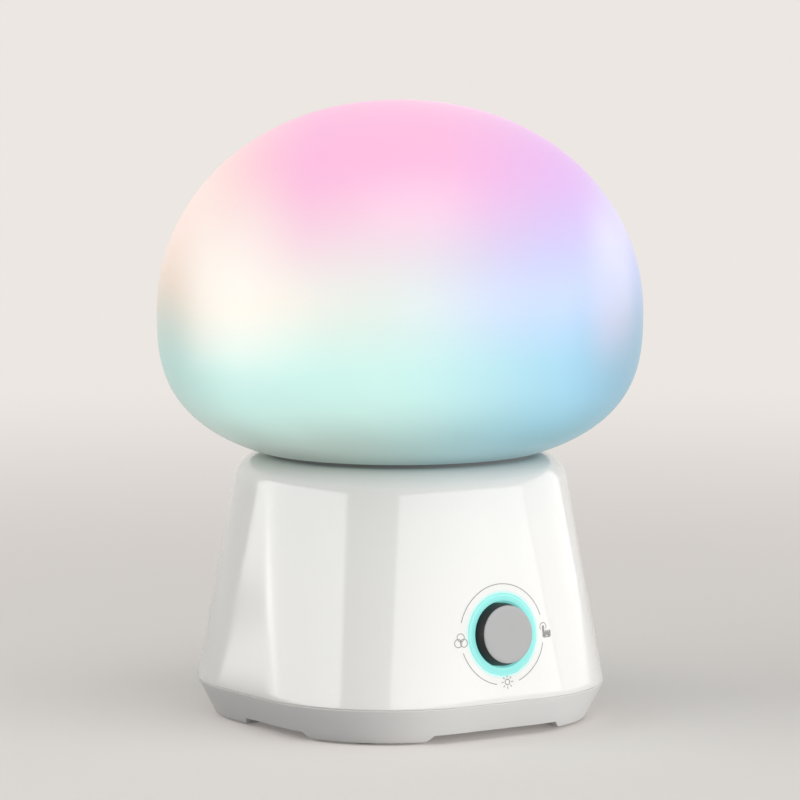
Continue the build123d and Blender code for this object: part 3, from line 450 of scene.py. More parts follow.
@dataclass(frozen=True)
class Jacket:
    """Extruded cable jacket, rubbed in places, with fine pores."""

    name: str
    tint: Tint
    roughness: float = 0.42
    rub_size: float = 1.6
    rubs: Flat = (0.1, 0.2)
    pore_size: float = 0.15
    depth: float = 0.006

    def make(self) -> bpy.types.Material:
        """Build the finish."""
        paint = Paint(self.name)
        place = paint.place()
        rub = paint.noise(place, self.rub_size, 4.0) - 0.5
        pore = paint.noise(place, self.pore_size, 1.0)
        return paint.coat(paint.shade(self.tint, 1 + rub * self.rubs[0]),
                          self.roughness + rub * self.rubs[1],
                          {"Specular IOR Level": 0.4}, pore, self.depth)


@dataclass(frozen=True)
class Sleeve:
    """Shrink sleeve of a cell, drawn tight with small wrinkles near its ends."""

    name: str
    tint: Tint
    band: Tint
    ends: Flat = (26.0, 31.0)
    ripple_size: float = 0.8
    ripple_stretch: float = 0.25
    roughness: float = 0.28
    depth: float = 0.05

    def make(self) -> bpy.types.Material:
        """Build the finish."""
        paint = Paint(self.name)
        ripple = paint.noise(paint.place((self.ripple_stretch, 1.0, 1.0)), self.ripple_size, 2.0)
        end = abs(paint.axes(paint.place())[0]).ease(*self.ends)
        return paint.coat(paint.mix(end * 0.5, self.tint, self.band), self.roughness + ripple * 0.1,
                          {"Coat Weight": 0.4}, ripple * (0.3 + end), self.depth)


@dataclass(frozen=True)
class Glow:
    """Frosted light body that shines over its whole face."""

    name: str
    tint: Tint
    light: Tint
    strength: float
    roughness: float = 0.4
    haze_size: float = 0.6
    depth: float = 0.003

    def make(self) -> bpy.types.Material:
        """Build the finish."""
        paint = Paint(self.name)
        haze = paint.noise(paint.place(), self.haze_size, 2.0)
        light = paint.shade(self.light, 0.9 + haze * 0.2)
        return paint.coat(paint.shade(self.tint, 0.96 + haze * 0.08), self.roughness + haze * 0.05,
                          {"Emission Strength": self.strength}, haze, self.depth,
                          Emission_Color=light)


@dataclass(frozen=True)
class DomeFrost:
    """Frosted shell lit from inside by lights of several colours.

    The colours are soft regions fixed in the shell: pink at the crown, a pale waist that is warm
    on one side and blue on the other, and a mint lower half. The grey underside that barely shines,
    the dimmer neck and the darker lower side edges are painted shade, and the pale column at each
    side is a painted reflection. Sheen whitens the shell where it is seen edge on.

    Each pair below is where a blend starts and where it is complete. Those named side run across
    the shell, from -1 at its west edge to 1 at its east edge, and those named rise run from 0 at
    its bottom to 1 at its top.
    """

    name: str = "dome_frost"
    crown: Tint = screen(253, 188, 224)
    lilac: Tint = screen(230, 184, 243)
    blush: Tint = screen(255, 217, 214)
    west: Tint = screen(254, 236, 220)
    middle: Tint = screen(236, 245, 238)
    east: Tint = screen(194, 214, 251)
    mint: Tint = screen(214, 255, 247)
    aqua: Tint = screen(164, 216, 242)
    # pale and streak are the colours of the painted reflections, one pale column at each side.
    pale: Tint = screen(251, 252, 246)
    streak: Tint = screen(224, 226, 252)
    # These two are the colours of the painted shade on the shell's underside.
    shade_west: Tint = screen(206, 230, 219)
    shade_east: Tint = screen(138, 197, 209)
    turn: float = 33.9
    bottom: float = 67.0
    top: float = 153.7
    radius: float = 60.4
    cloud_size: float = 34.0
    cloud_shift: Flat = (0.12, 0.08)
    aqua_side: Flat = (-0.15, 0.8)
    middle_side: Flat = (-0.85, -0.1)
    east_side: Flat = (-0.2, 0.68)
    lilac_side: Flat = (0.05, 0.8)
    blush_side: Flat = (-0.3, -0.8)
    # Where the painted shade's colour turns from its west tint to its east tint.
    shade_side: Flat = (-0.4, 0.6)
    waist_rise: Flat = (0.26, 0.5)
    crown_rise: Flat = (0.43, 0.88)
    column_low_rise: Flat = (0.2, 0.42)
    column_high_rise: Flat = (0.9, 0.6)
    # Painted reflections: where the pale column at each side is, and how strong it is.
    west_reflection_side: tuple[Flat, Flat] = ((-0.95, -0.76), (-0.35, -0.66))
    west_reflection_share: float = 0.45
    east_reflection_side: tuple[Flat, Flat] = ((0.7, 0.85), (0.98, 0.9))
    east_reflection_share: float = 0.66
    # Painted shade: the underside turns grey from here down.
    shade_rise: Flat = (0.25, -0.02)
    # Painted shade: the lower side edges are darker.
    edge_shade_side: Flat = (0.62, 1.02)
    edge_shade_rise: Flat = (0.7, 0.3)
    edge_shade_dim: float = 0.36
    # Painted shade: how much less the underside and the neck shine.
    shade_dim: float = 0.64
    neck_shade_rise: Flat = (0.0, 0.06)
    neck_shade_dim: float = 0.4
    body: float = 0.425
    strength: float = 0.607
    roughness: float = 0.42
    frost_size: float = 0.3
    depth: float = 0.003

    def regions(self, paint: Paint, side: Sock, reach: Sock, height: Sock) -> Sock:
        """The colour that the shell shines in, above its underside, with painted reflections at its
        sides.

        Args:
            paint: The finish.
            side: Place across the shell.
            reach: The same, made uneven.
            height: Place up the shell, made uneven.

        Returns:
            The colour.
        """
        low = paint.mix(reach.ease(*self.aqua_side), self.mint, self.aqua)
        waist = paint.mix(reach.ease(*self.middle_side), self.west, self.middle)
        waist = paint.mix(reach.ease(*self.east_side), waist, self.east)
        high = paint.mix(reach.ease(*self.lilac_side), self.crown, self.lilac)
        high = paint.mix(reach.ease(*self.blush_side), high, self.blush)
        glow = paint.mix(height.ease(*self.waist_rise), low, waist)
        glow = paint.mix(height.ease(*self.crown_rise), glow, high)
        # Painted reflections: a pale column at each side, laid over the glow.
        band = height.ease(*self.column_low_rise) * height.ease(*self.column_high_rise)
        for (outer, inner), share, tint in ((self.west_reflection_side, self.west_reflection_share, self.pale),
                                            (self.east_reflection_side, self.east_reflection_share, self.streak)):
            glow = paint.mix(side.ease(*outer) * side.ease(*inner) * band * share, glow, tint)
        return glow

    def make(self) -> bpy.types.Material:
        """Build the finish."""
        paint = Paint(self.name)
        place = paint.place()
        x, y, z = paint.axes(place)
        angle = math.radians(self.turn)
        cloud = paint.noise(place, self.cloud_size, 1.0) - 0.5
        side = (x * math.cos(angle) - y * math.sin(angle)) / self.radius
        reach = side + cloud * self.cloud_shift[0]
        height = (z - self.bottom) / (self.top - self.bottom) + cloud * self.cloud_shift[1]
        # Painted shade: towards the bottom the glow is mixed into the grey underside colours.
        under = paint.mix(reach.ease(*self.shade_side), self.shade_west, self.shade_east)
        shade_share = height.ease(*self.shade_rise)
        glow = paint.mix(shade_share, self.regions(paint, side, reach, height), under)
        # Painted shade: the glow is darker at the lower side edges.
        edge = abs(side).ease(*self.edge_shade_side) * height.ease(*self.edge_shade_rise)
        glow = paint.shade(glow, 1 - edge * self.edge_shade_dim)
        # Painted shade: the underside and the neck shine less.
        neck = (1 - self.neck_shade_dim) + height.ease(*self.neck_shade_rise) * self.neck_shade_dim
        shade_level = (1 - shade_share * shade_share * self.shade_dim) * neck
        frost = paint.noise(place, self.frost_size, 2.0)
        # The base colour is the glow at a lower level, with the same painted shade and painted
        # reflections.
        return paint.coat(paint.shade(glow, self.body), self.roughness + (frost - 0.5) * 0.06,
                          {"Emission Strength": self.strength, "Coat Weight": 0.1,
                           "Coat Roughness": 0.2, "Sheen Weight": 0.22, "Sheen Roughness": 0.3},
                          frost, self.depth, Emission_Color=paint.shade(glow, shade_level))


@dataclass(frozen=True)
class GlossWhite:
    """Polished white moulding with a painted glow of the ring's cyan light round the knob."""

    name: str = "housing_white"
    tint: Tint = screen(242, 242, 240)
    # Colour of the painted glow of the ring's light round the knob.
    painted_halo: Tint = screen(140, 232, 228)
    ring: float = 9.9
    fade: Flat = (1.2, -0.4)
    front: Flat = (-20.0, -25.0)
    cloud_size: float = 14.0
    wave_size: float = 5.0
    roughness: float = 0.13
    depth: float = 0.004

    def make(self) -> bpy.types.Material:
        """Build the finish."""
        paint = Paint(self.name)
        place = paint.place()
        # Painted glow: near the ring the colour turns cyan and the surface shines, as if lit by the
        # ring.
        near = (paint.off_knob(place) - self.ring).ease(*self.fade)
        near = near * paint.axes(place)[1].ease(*self.front)
        cloud = paint.noise(place, self.cloud_size, 2.0) - 0.5
        wave = paint.noise(place, self.wave_size, 1.0)
        colour = paint.mix(near * 0.75, paint.shade(self.tint, 1 + cloud * 0.012), self.painted_halo)
        return paint.coat(colour, self.roughness + cloud * 0.03,
                          {"Emission Strength": 0.2, "Coat Weight": 0.5, "Coat Roughness": 0.07},
                          wave, self.depth, Emission_Color=paint.shade(self.painted_halo, near * near))


@dataclass(frozen=True)
class RingGlow:
    """Clear ring lit from behind, deepest in colour next to the knob."""

    name: str = "ring_clear"
    inner: Tint = screen(140, 228, 223)
    outer: Tint = screen(168, 240, 235)
    spread: Flat = (9.0, 10.1)
    haze_size: float = 0.8
    roughness: float = 0.3
    depth: float = 0.002

    def make(self) -> bpy.types.Material:
        """Build the finish."""
        paint = Paint(self.name)
        place = paint.place()
        haze = paint.noise(place, self.haze_size, 2.0)
        share = paint.off_knob(place).ease(*self.spread) + (haze - 0.5) * 0.06
        light = paint.mix(share, self.inner, self.outer)
        return paint.coat(paint.shade(light, 0.4), self.roughness + haze * 0.05,
                          {"Emission Strength": 0.7, "Coat Weight": 0.1}, haze, self.depth,
                          Emission_Color=light)


@dataclass(frozen=True)
class SatinFace:
    """Grey satin face of the knob with faint turned circles."""

    name: str = "knob_grey"
    tint: Tint = screen(178, 178, 179)
    circles: float = 26.0
    cloud_size: float = 3.0
    roughness: float = 0.34
    depth: float = 0.002

    def make(self) -> bpy.types.Material:
        """Build the finish."""
        paint = Paint(self.name)
        place = paint.place()
        circle = (paint.off_knob(place) * self.circles).sine()
        cloud = paint.noise(place, self.cloud_size, 2.0) - 0.5
        colour = paint.shade(self.tint, 1 + circle * 0.012 + cloud * 0.03)
        return paint.coat(colour, self.roughness + circle * 0.03 + cloud * 0.04,
                          {"Specular IOR Level": 0.55}, circle * 0.5 + 0.5, self.depth)


@dataclass(frozen=True)
class Ink:
    """Grey print with slightly uneven cover."""

    name: str = "dial_print"
    tint: Tint = screen(156, 153, 151)
    cover_size: float = 0.12
    roughness: float = 0.5
    depth: float = 0.002

    def make(self) -> bpy.types.Material:
        """Build the finish."""
        paint = Paint(self.name)
        cover = paint.noise(paint.place(), self.cover_size, 2.0)
        return paint.coat(paint.shade(self.tint, 0.94 + cover * 0.12),
                          self.roughness + cover * 0.1, None, cover, self.depth)


class Slot(Enum):
    """The record's finishes."""

    DOME_FROST = "dome_frost"
    GASKET_RUBBER = "gasket_rubber"
    HOUSING_WHITE = "housing_white"
    PLINTH_GREY = "plinth_grey"
    PAD_RUBBER = "pad_rubber"
    SCREW_STEEL = "screw_steel"
    CARRIER_WHITE = "carrier_white"
    SPREADER_METAL = "spreader_metal"
    LIGHT_BOARD_WHITE = "light_board_white"
    LIGHT_BODY = "light_body"
    LIGHT_PHOSPHOR = "light_phosphor"
    SOCKET_CREAM = "socket_cream"
    CRADLE_BLACK = "cradle_black"
    CELL_SLEEVE = "cell_sleeve"
    CONTACT_NICKEL = "contact_nickel"
    BOARD_GREEN = "board_green"
    CHIP_BLACK = "chip_black"
    COIL_GREY = "coil_grey"
    CAPACITOR_CAN = "capacitor_can"
    INLET_METAL = "inlet_metal"
    INLET_TONGUE = "inlet_tongue"
    RING_CLEAR = "ring_clear"
    ENCODER_METAL = "encoder_metal"
    ENCODER_BRASS = "encoder_brass"
    ROTOR_PLASTIC = "rotor_plastic"
    KNOB_DARK = "knob_dark"
    KNOB_GREY = "knob_grey"
    CABLE_WHITE = "cable_white"
    LEAD_RED = "lead_red"
    LEAD_BLACK = "lead_black"


FINISHES: "dict[Slot, Any]" = {
    Slot.DOME_FROST: DomeFrost(),
    Slot.GASKET_RUBBER: Moulded("gasket_rubber", screen(128, 130, 130), 0.7, 0.5, 0.012),
    Slot.HOUSING_WHITE: GlossWhite(),
    Slot.PLINTH_GREY: Moulded("plinth_grey", screen(225, 225, 225), 0.36, 0.3, 0.004),
    Slot.PAD_RUBBER: Moulded("pad_rubber", screen(96, 97, 98), 0.75, 0.6, 0.02),
    Slot.SCREW_STEEL: Drawn("screw_steel", screen(196, 197, 200), 0.3),
    Slot.CARRIER_WHITE: Moulded("carrier_white", screen(236, 236, 233), 0.45),
    Slot.SPREADER_METAL: Drawn("spreader_metal", screen(206, 208, 212), 0.32, (0.06, 1.0, 1.0)),
    Slot.LIGHT_BOARD_WHITE: Circuit("light_board_white", screen(238, 239, 236),
                                    screen(222, 224, 220)),
    Slot.LIGHT_BODY: Glow("light_body", screen(244, 244, 238), screen(255, 214, 238), 0.5),
    Slot.LIGHT_PHOSPHOR: Glow("light_phosphor", screen(244, 214, 96), screen(255, 240, 190), 0.5),
    Slot.SOCKET_CREAM: Moulded("socket_cream", screen(233, 226, 206), 0.5),
    Slot.CRADLE_BLACK: Moulded("cradle_black", screen(44, 45, 47), 0.5),
    Slot.CELL_SLEEVE: Sleeve("cell_sleeve", screen(70, 120, 168), screen(40, 80, 128)),
    Slot.CONTACT_NICKEL: Drawn("contact_nickel", screen(205, 203, 196), 0.28),
    Slot.BOARD_GREEN: Circuit("board_green", screen(22, 92, 56), screen(48, 124, 78)),
    Slot.CHIP_BLACK: Moulded("chip_black", screen(34, 35, 37), 0.55, 0.15, 0.01),
    Slot.COIL_GREY: Moulded("coil_grey", screen(88, 88, 92), 0.6, 0.2, 0.02),
    Slot.CAPACITOR_CAN: Drawn("capacitor_can", screen(210, 212, 216), 0.3),
    Slot.INLET_METAL: Drawn("inlet_metal", screen(190, 191, 194), 0.28, (1.0, 0.08, 1.0)),
    Slot.INLET_TONGUE: Moulded("inlet_tongue", screen(38, 38, 40), 0.4),
    Slot.RING_CLEAR: RingGlow(),
    Slot.ENCODER_METAL: Drawn("encoder_metal", screen(186, 188, 190), 0.34),
    Slot.ENCODER_BRASS: Drawn("encoder_brass", screen(206, 174, 96), 0.28),
    Slot.ROTOR_PLASTIC: Moulded("rotor_plastic", screen(60, 110, 84), 0.45),
    Slot.KNOB_DARK: Moulded("knob_dark", screen(44, 36, 37), 0.45, 0.22, 0.006, shine=0.25),
    Slot.KNOB_GREY: SatinFace(),
    Slot.CABLE_WHITE: Jacket("cable_white", screen(228, 228, 224)),
    Slot.LEAD_RED: Jacket("lead_red", screen(186, 40, 34)),
    Slot.LEAD_BLACK: Jacket("lead_black", screen(36, 36, 38)),
}


class Palette:
    """Makes each finish once and hands it out by slot."""

    def __init__(self) -> None:
        """Start with no finish made."""
        self.made: dict[Slot, bpy.types.Material] = {}

    def get(self, slot: Slot) -> bpy.types.Material:
        """The material of a slot, made at its first use."""
        if slot not in self.made:
            self.made[slot] = FINISHES[slot].make()
        return self.made[slot]

    def dress_frame(self, frame: dict[str, Any]) -> None:
        """Give every node of the frame its finish.

        Args:
            frame: What the frame's loader handed back.
        """
        for row in frame["record"]["subparts"]:
            node = frame["nodes"][row["node"]]
            node.data.materials.clear()
            node.data.materials.append(self.get(Slot(row["material_slot"])))


def flatten(host: bpy.types.Object) -> bpy.types.Mesh:
    """Turn an object with its modifiers into a plain mesh, and remove the object.

    Args:
        host: The object.

    Returns:
        The plain mesh.
    """
    graph = bpy.context.evaluated_depsgraph_get()
    mesh = bpy.data.meshes.new_from_object(host.evaluated_get(graph))
    bpy.data.objects.remove(host)
    return mesh


class Shape(Bench):
    """A Geometry Nodes tree with named inputs."""

    def __init__(self, name: str, sizes: dict[str, str]) -> None:
        """Start a tree.

        Args:
            name: The tree's name.
            sizes: Each input's label and socket type.
        """
        super().__init__(bpy.data.node_groups.new(name, "GeometryNodeTree"))
        face = self.tree.interface
        face.new_socket("Geometry", in_out="OUTPUT", socket_type="NodeSocketGeometry")
        self.keys = {label: face.new_socket(label, in_out="INPUT", socket_type=kind).identifier
                     for label, kind in {**sizes, "Finish": "NodeSocketMaterial"}.items()}
        self.entry = self.node("NodeGroupInput")

    def given(self, label: str) -> Sock:
        """An input of the tree as a value."""
        return Sock(self, self.entry.outputs[label])

    def close(self, shape: Sock) -> None:
        """End the tree in plain geometry with its finish on it."""
        plain = self.add("GeometryNodeRealizeInstances", inputs={0: shape})
        dressed = self.add("GeometryNodeSetMaterial",
                           inputs={"Geometry": plain, "Material": self.given("Finish")})
        self.node("NodeGroupOutput", inputs={0: dressed})

    def source(self, label: str) -> Sock:
        """The geometry of an object that is given to the tree."""
        return self.add("GeometryNodeObjectInfo", inputs={"Object": self.given(label)},
                        output="Geometry")

    def build(self, values: dict[str, Any]) -> bpy.types.Mesh:
        """Run the tree once.

        Args:
            values: The value of each named input.

        Returns:
            The result as a plain mesh.
        """
        host = link("host", bpy.data.meshes.new("host"))
        modifier = host.modifiers.new("shape", "NODES")
        modifier.node_group = self.tree
        for label, value in values.items():
            modifier[self.keys[label]] = value
        return flatten(host)


class TurnedShape(Shape):
    """Spins a profile of points about +Z."""

    def __init__(self) -> None:
        """Build the tree."""
        super().__init__("turned_shape", {"Profile": "NodeSocketObject", "Sides": "NodeSocketInt"})
        profile = self.source("Profile")
        rows = self.add("GeometryNodeAttributeDomainSize", {"component": "MESH"}, {0: profile})
        grid = self.add("GeometryNodeMeshGrid", inputs={
            "Size X": 1.0, "Size Y": 1.0, "Vertices X": self.given("Sides") + 1,
            "Vertices Y": rows})
        index = self.add("GeometryNodeInputIndex")
        column = (index / rows + 0.0001).floor()
        row = index - column * rows
        point = self.add(
            "GeometryNodeSampleIndex", {"data_type": "FLOAT_VECTOR", "domain": "POINT"},
            {"Geometry": profile, "Value": self.add("GeometryNodeInputPosition"), "Index": row})
        parts = self.add("ShaderNodeSeparateXYZ", inputs={0: point})
        angle = column * (2 * math.pi) / self.given("Sides")
        target = self.add("ShaderNodeCombineXYZ", inputs={
            0: parts * angle.cosine(), 1: parts * angle.sine(), 2: parts.output(2)})
        moved = self.add("GeometryNodeSetPosition", inputs={"Geometry": grid, "Position": target})
        merged = self.add("GeometryNodeMergeByDistance",
                          inputs={"Geometry": moved, "Distance": 1e-6})
        self.close(self.add("GeometryNodeSetShadeSmooth", inputs={"Geometry": merged}))

    def spin(self, profile: Sequence[Flat], sides: int,
             finish: bpy.types.Material) -> bpy.types.Mesh:
        """Spin one profile.

        Args:
            profile: Radius and height of each point, in millimetres.
            sides: How many sides the turned piece has.
            finish: Its material.

        Returns:
            The closed mesh.
        """
        guide = bpy.data.meshes.new("guide")
        spots = [(radius * MM, 0.0, height * MM) for radius, height in profile]
        guide.from_pydata(spots, [(i, i + 1) for i in range(len(spots) - 1)], [])
        carrier = link("guide", guide)
        mesh = self.build({"Profile": carrier, "Sides": sides, "Finish": finish})
        bpy.data.objects.remove(carrier)
        return mesh


class RingShape(Shape):
    """Copies of one piece round a circle about +Z."""

    def __init__(self) -> None:
        """Build the tree."""
        super().__init__("ring_shape", {"Source": "NodeSocketObject", "Count": "NodeSocketInt",
                                        "Radius": "NodeSocketFloat", "Start": "NodeSocketFloat"})
        count = self.given("Count")
        line = self.add("GeometryNodeMeshLine", inputs={"Count": count})
        angle = self.add("GeometryNodeInputIndex") * (2 * math.pi) / count + self.given("Start")
        radius = self.given("Radius")
        spot = self.add("ShaderNodeCombineXYZ",
                        inputs={0: radius * angle.cosine(), 1: radius * angle.sine()})
        points = self.add("GeometryNodeSetPosition", inputs={"Geometry": line, "Position": spot})
        turn = self.add("ShaderNodeCombineXYZ", inputs={2: angle})
        self.close(self.add("GeometryNodeInstanceOnPoints", inputs={
            "Points": points, "Instance": self.source("Source"), "Rotation": turn}))


class RowShape(Shape):
    """Copies of one piece along a straight row through its middle."""

    def __init__(self) -> None:
        """Build the tree."""
        super().__init__("row_shape", {"Source": "NodeSocketObject", "Count": "NodeSocketInt",
                                       "Pitch": "NodeSocketFloat"})
        count, pitch = self.given("Count"), self.given("Pitch")
        line = self.add("GeometryNodeMeshLine", inputs={"Count": count})
        along = (self.add("GeometryNodeInputIndex") - (count - 1) / 2.0) * pitch
        spot = self.add("ShaderNodeCombineXYZ", inputs={0: along})
        points = self.add("GeometryNodeSetPosition", inputs={"Geometry": line, "Position": spot})
        self.close(self.add("GeometryNodeInstanceOnPoints", inputs={
            "Points": points, "Instance": self.source("Source")}))


def signed_volume(mesh: bpy.types.Mesh) -> float:
    """Volume of a closed mesh.

    Args:
        mesh: The mesh.

    Returns:
        The volume, negative where the faces point inwards.
    """
    mesh.calc_loop_triangles()
    total = 0.0
    for triangle in mesh.loop_triangles:
        a, b, c = (mesh.vertices[i].co for i in triangle.vertices)
        total += a.dot(b.cross(c)) / 6
    return total


def settle(mesh: bpy.types.Mesh, crease: float = CREASE) -> bpy.types.Mesh:
    """Turn a mesh's faces outwards and shade it smooth up to a crease.

    Args:
        mesh: A closed mesh.
        crease: Angle in degrees from which an edge is sharp.

    Returns:
        The same mesh.
    """
    if signed_volume(mesh) < 0:
        mesh.flip_normals()
    mesh.shade_smooth()
    mesh.set_sharp_from_angle(angle=math.radians(crease))
    return mesh


def solid(spots: Sequence[Spot], faces: Sequence[Face]) -> bpy.types.Mesh:
    """A mesh from points in millimetres.

    Args:
        spots: The points.
        faces: The numbers of each face's points, counter-clockwise seen from outside.

    Returns:
        The mesh, in metres.
    """
    mesh = bpy.data.meshes.new("solid")
    mesh.from_pydata([tuple(value * MM for value in spot) for spot in spots], [], faces)
    mesh.validate()
    return mesh


class Body(Enum):
    """The bodies that new pieces ride on."""

    ROOT = "root"
    KNOB = "knob"


@dataclass
class Builder:
    """Puts finished meshes into the scene as pieces of the lamp."""

    palette: Palette
    turned: TurnedShape
    ring: RingShape
    row: RowShape

    def piece(self, name: str, mesh: bpy.types.Mesh, slot: "Slot | None",
              replaces: Iterable[str] = (), body: Body = Body.ROOT,
              crease: float = CREASE) -> None:
        """Add one piece.

        Args:
            name: The piece's name.
            mesh: Its mesh, in place.
            slot: The record's finish, or None where the mesh has its own.
            replaces: The frame's nodes that it stands for.
            body: The body that it rides on.
            crease: Angle in degrees from which an edge is sharp.
        """
        settle(mesh, crease)
        mesh.name = name
        item = link(name, mesh)
        if slot is not None:
            mesh.materials.clear()
            mesh.materials.append(self.palette.get(slot))
        if replaces:
            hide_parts(*replaces)
        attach(item, body.value)
        LOG.info("%s: %d faces", name, len(mesh.polygons))

    def copies(self, shape: Shape, source: bpy.types.Mesh, values: dict[str, Any],
               finish: bpy.types.Material) -> bpy.types.Mesh:
        """Repeat one small mesh with a copying tree.

        Args:
            shape: The ring or row tree.
            source: The mesh that is repeated.
            values: The tree's sizes.
            finish: The copies' material.

        Returns:
            All copies as one mesh.
        """
        carrier = link("source", settle(source))
        mesh = shape.build({"Source": carrier, "Finish": finish, **values})
        bpy.data.objects.remove(carrier)
        return mesh


def arc(centre: Flat, radius: float, start: float, stop: float, steps: int) -> list[Flat]:
    """Points on a flat arc.

    Args:
        centre: Its centre.
        radius: Its radius.
        start: First angle in degrees.
        stop: Last angle in degrees.
        steps: How many parts it has.

    Returns:
        The points, both ends included.
    """
    angles = (math.radians(start + (stop - start) * i / steps) for i in range(steps + 1))
    return [(centre[0] + radius * math.cos(a), centre[1] + radius * math.sin(a)) for a in angles]


@dataclass
class FrostedDome:
    """The glowing shell: a full upper half, a fuller lower half cut flat, and a neck."""

    width: float = 120.88
    widest: float = 101.6
    rise: float = 52.08
    drop: float = 38.45
    underside: float = 67.0
    wall: float = 2.0
    rim_round: float = 0.6
    rim_steps: int = 8
    neck: float = 31.0
    neck_bore: float = 29.0
    neck_end: float = 60.5
    upper_powers: Flat = (2.1, 2.0)
    lower_powers: Flat = (2.56, 2.83)
    lug_top: float = 63.6
    lug_thick: float = 1.5
    lug_reach: float = 2.0
    lug_root: float = 0.5
    lug_width: float = 11.0
    sides: int = 320

    def upper(self, inset: float, steps: int) -> list[Flat]:
        """Points from the crown down to the widest ring.

        Args:
            inset: How far the line is drawn in.
            steps: How many parts it has.

        Returns:
            Radius and height of each point.
        """
        points = []
        for index in range(steps, -1, -1):
            along = math.sin(math.pi / 2 * index / steps)
            across = max(0.0, 1 - along ** self.upper_powers[1]) ** (1 / self.upper_powers[0])
            points.append(((self.width / 2 - inset) * across,
                           self.widest + (self.rise - inset) * along))
        return points

    def lower_radius(self, height: float, inset: float) -> float:
        """Radius of the lower half at a height.

        Args:
            height: The height.
            inset: How far the line is drawn in.

        Returns:
            The radius.
        """
        depth = (self.widest - height) / (self.drop - inset)
        across = (1 - depth ** self.lower_powers[1]) ** (1 / self.lower_powers[0])
        return (self.width / 2 - inset) * across

    def lower(self, floor: float, inset: float, steps: int) -> list[Flat]:
        """Points from just under the widest ring down to a floor.

        Args:
            floor: The height where it ends.
            inset: How far the line is drawn in.
            steps: How many parts it has.

        Returns:
            Radius and height of each point.
        """
        heights = (self.widest + (floor - self.widest) * math.sin(math.pi / 2 * i / steps)
                   for i in range(1, steps + 1))
        return [(self.lower_radius(height, inset), height) for height in heights]

    def profile(self) -> list[Flat]:
        """The whole closed side, from the crown outside to the crown inside."""
        outside = self.upper(0.0, 72) + self.lower(self.underside, 0.0, 48)
        rim = outside.pop()
        while math.dist(outside[-1], rim) < self.rim_round:
            outside.pop()
        back = (rim[0] - self.rim_round * 1.6, rim[1])
        curl = []
        for index in range(1, self.rim_steps + 1):
            t = index / self.rim_steps
            curl.append(tuple((1 - t) ** 2 * a + 2 * t * (1 - t) * b + t * t * c
                              for a, b, c in zip(outside[-1], rim, back)))
        floor = self.underside + self.wall
        neck = [(self.neck, self.underside), (self.neck, self.neck_end),
                (self.neck_bore, self.neck_end), (self.neck_bore, floor)]
        inside = (self.upper(self.wall, 48) + self.lower(floor, self.wall, 32))[::-1]
        return outside + curl + neck + inside

    def lugs(self, make: Builder) -> bpy.types.Mesh:
        """The four snap lugs of the neck.

        Args:
            make: The builder.

        Returns:
            The closed mesh.
        """
        half = math.degrees(math.asin(self.lug_width / 2 / self.neck))
        outer = arc((0.0, 0.0), self.neck + self.lug_reach, -half, half, 8)
        inner = arc((0.0, 0.0), self.neck_bore + self.lug_root, half, -half, 8)
        lug = prism(outer + inner, self.lug_top - self.lug_thick, self.lug_top)
        return make.copies(make.ring, lug, {"Count": 4, "Radius": 0.0, "Start": 0.0},
                           make.palette.get(Slot.DOME_FROST))

    def build(self, make: Builder) -> None:
        """Make the dome's pieces.

        Args:
            make: The builder.
        """
        finish = make.palette.get(Slot.DOME_FROST)
        shell = make.turned.spin(self.profile(), self.sides, finish)
        make.piece("dome_shell", shell, Slot.DOME_FROST, ["dome_shade"])
        make.piece("dome_lugs", self.lugs(make), Slot.DOME_FROST)


def corners(radius: float) -> dict[str, Any]:
    """Sizes of a ring of four copies towards the corners, for a radius in millimetres."""
    return {"Count": 4, "Radius": radius * MM, "Start": math.pi / 4}


def prism(outline: Sequence[Flat], bottom: float, top: float) -> bpy.types.Mesh:
    """Upright prism on a flat outline.

    Args:
        outline: Its corners in order.
        bottom: Its lower height.
        top: Its upper height.

    Returns:
        The closed mesh.
    """
    count = len(outline)
    spots = [(x, y, height) for height in (bottom, top) for x, y in outline]
    faces: list[Face] = [tuple(range(count))[::-1], tuple(range(count, 2 * count))]
    faces += [(i, (i + 1) % count, count + (i + 1) % count, count + i) for i in range(count)]
    return solid(spots, faces)


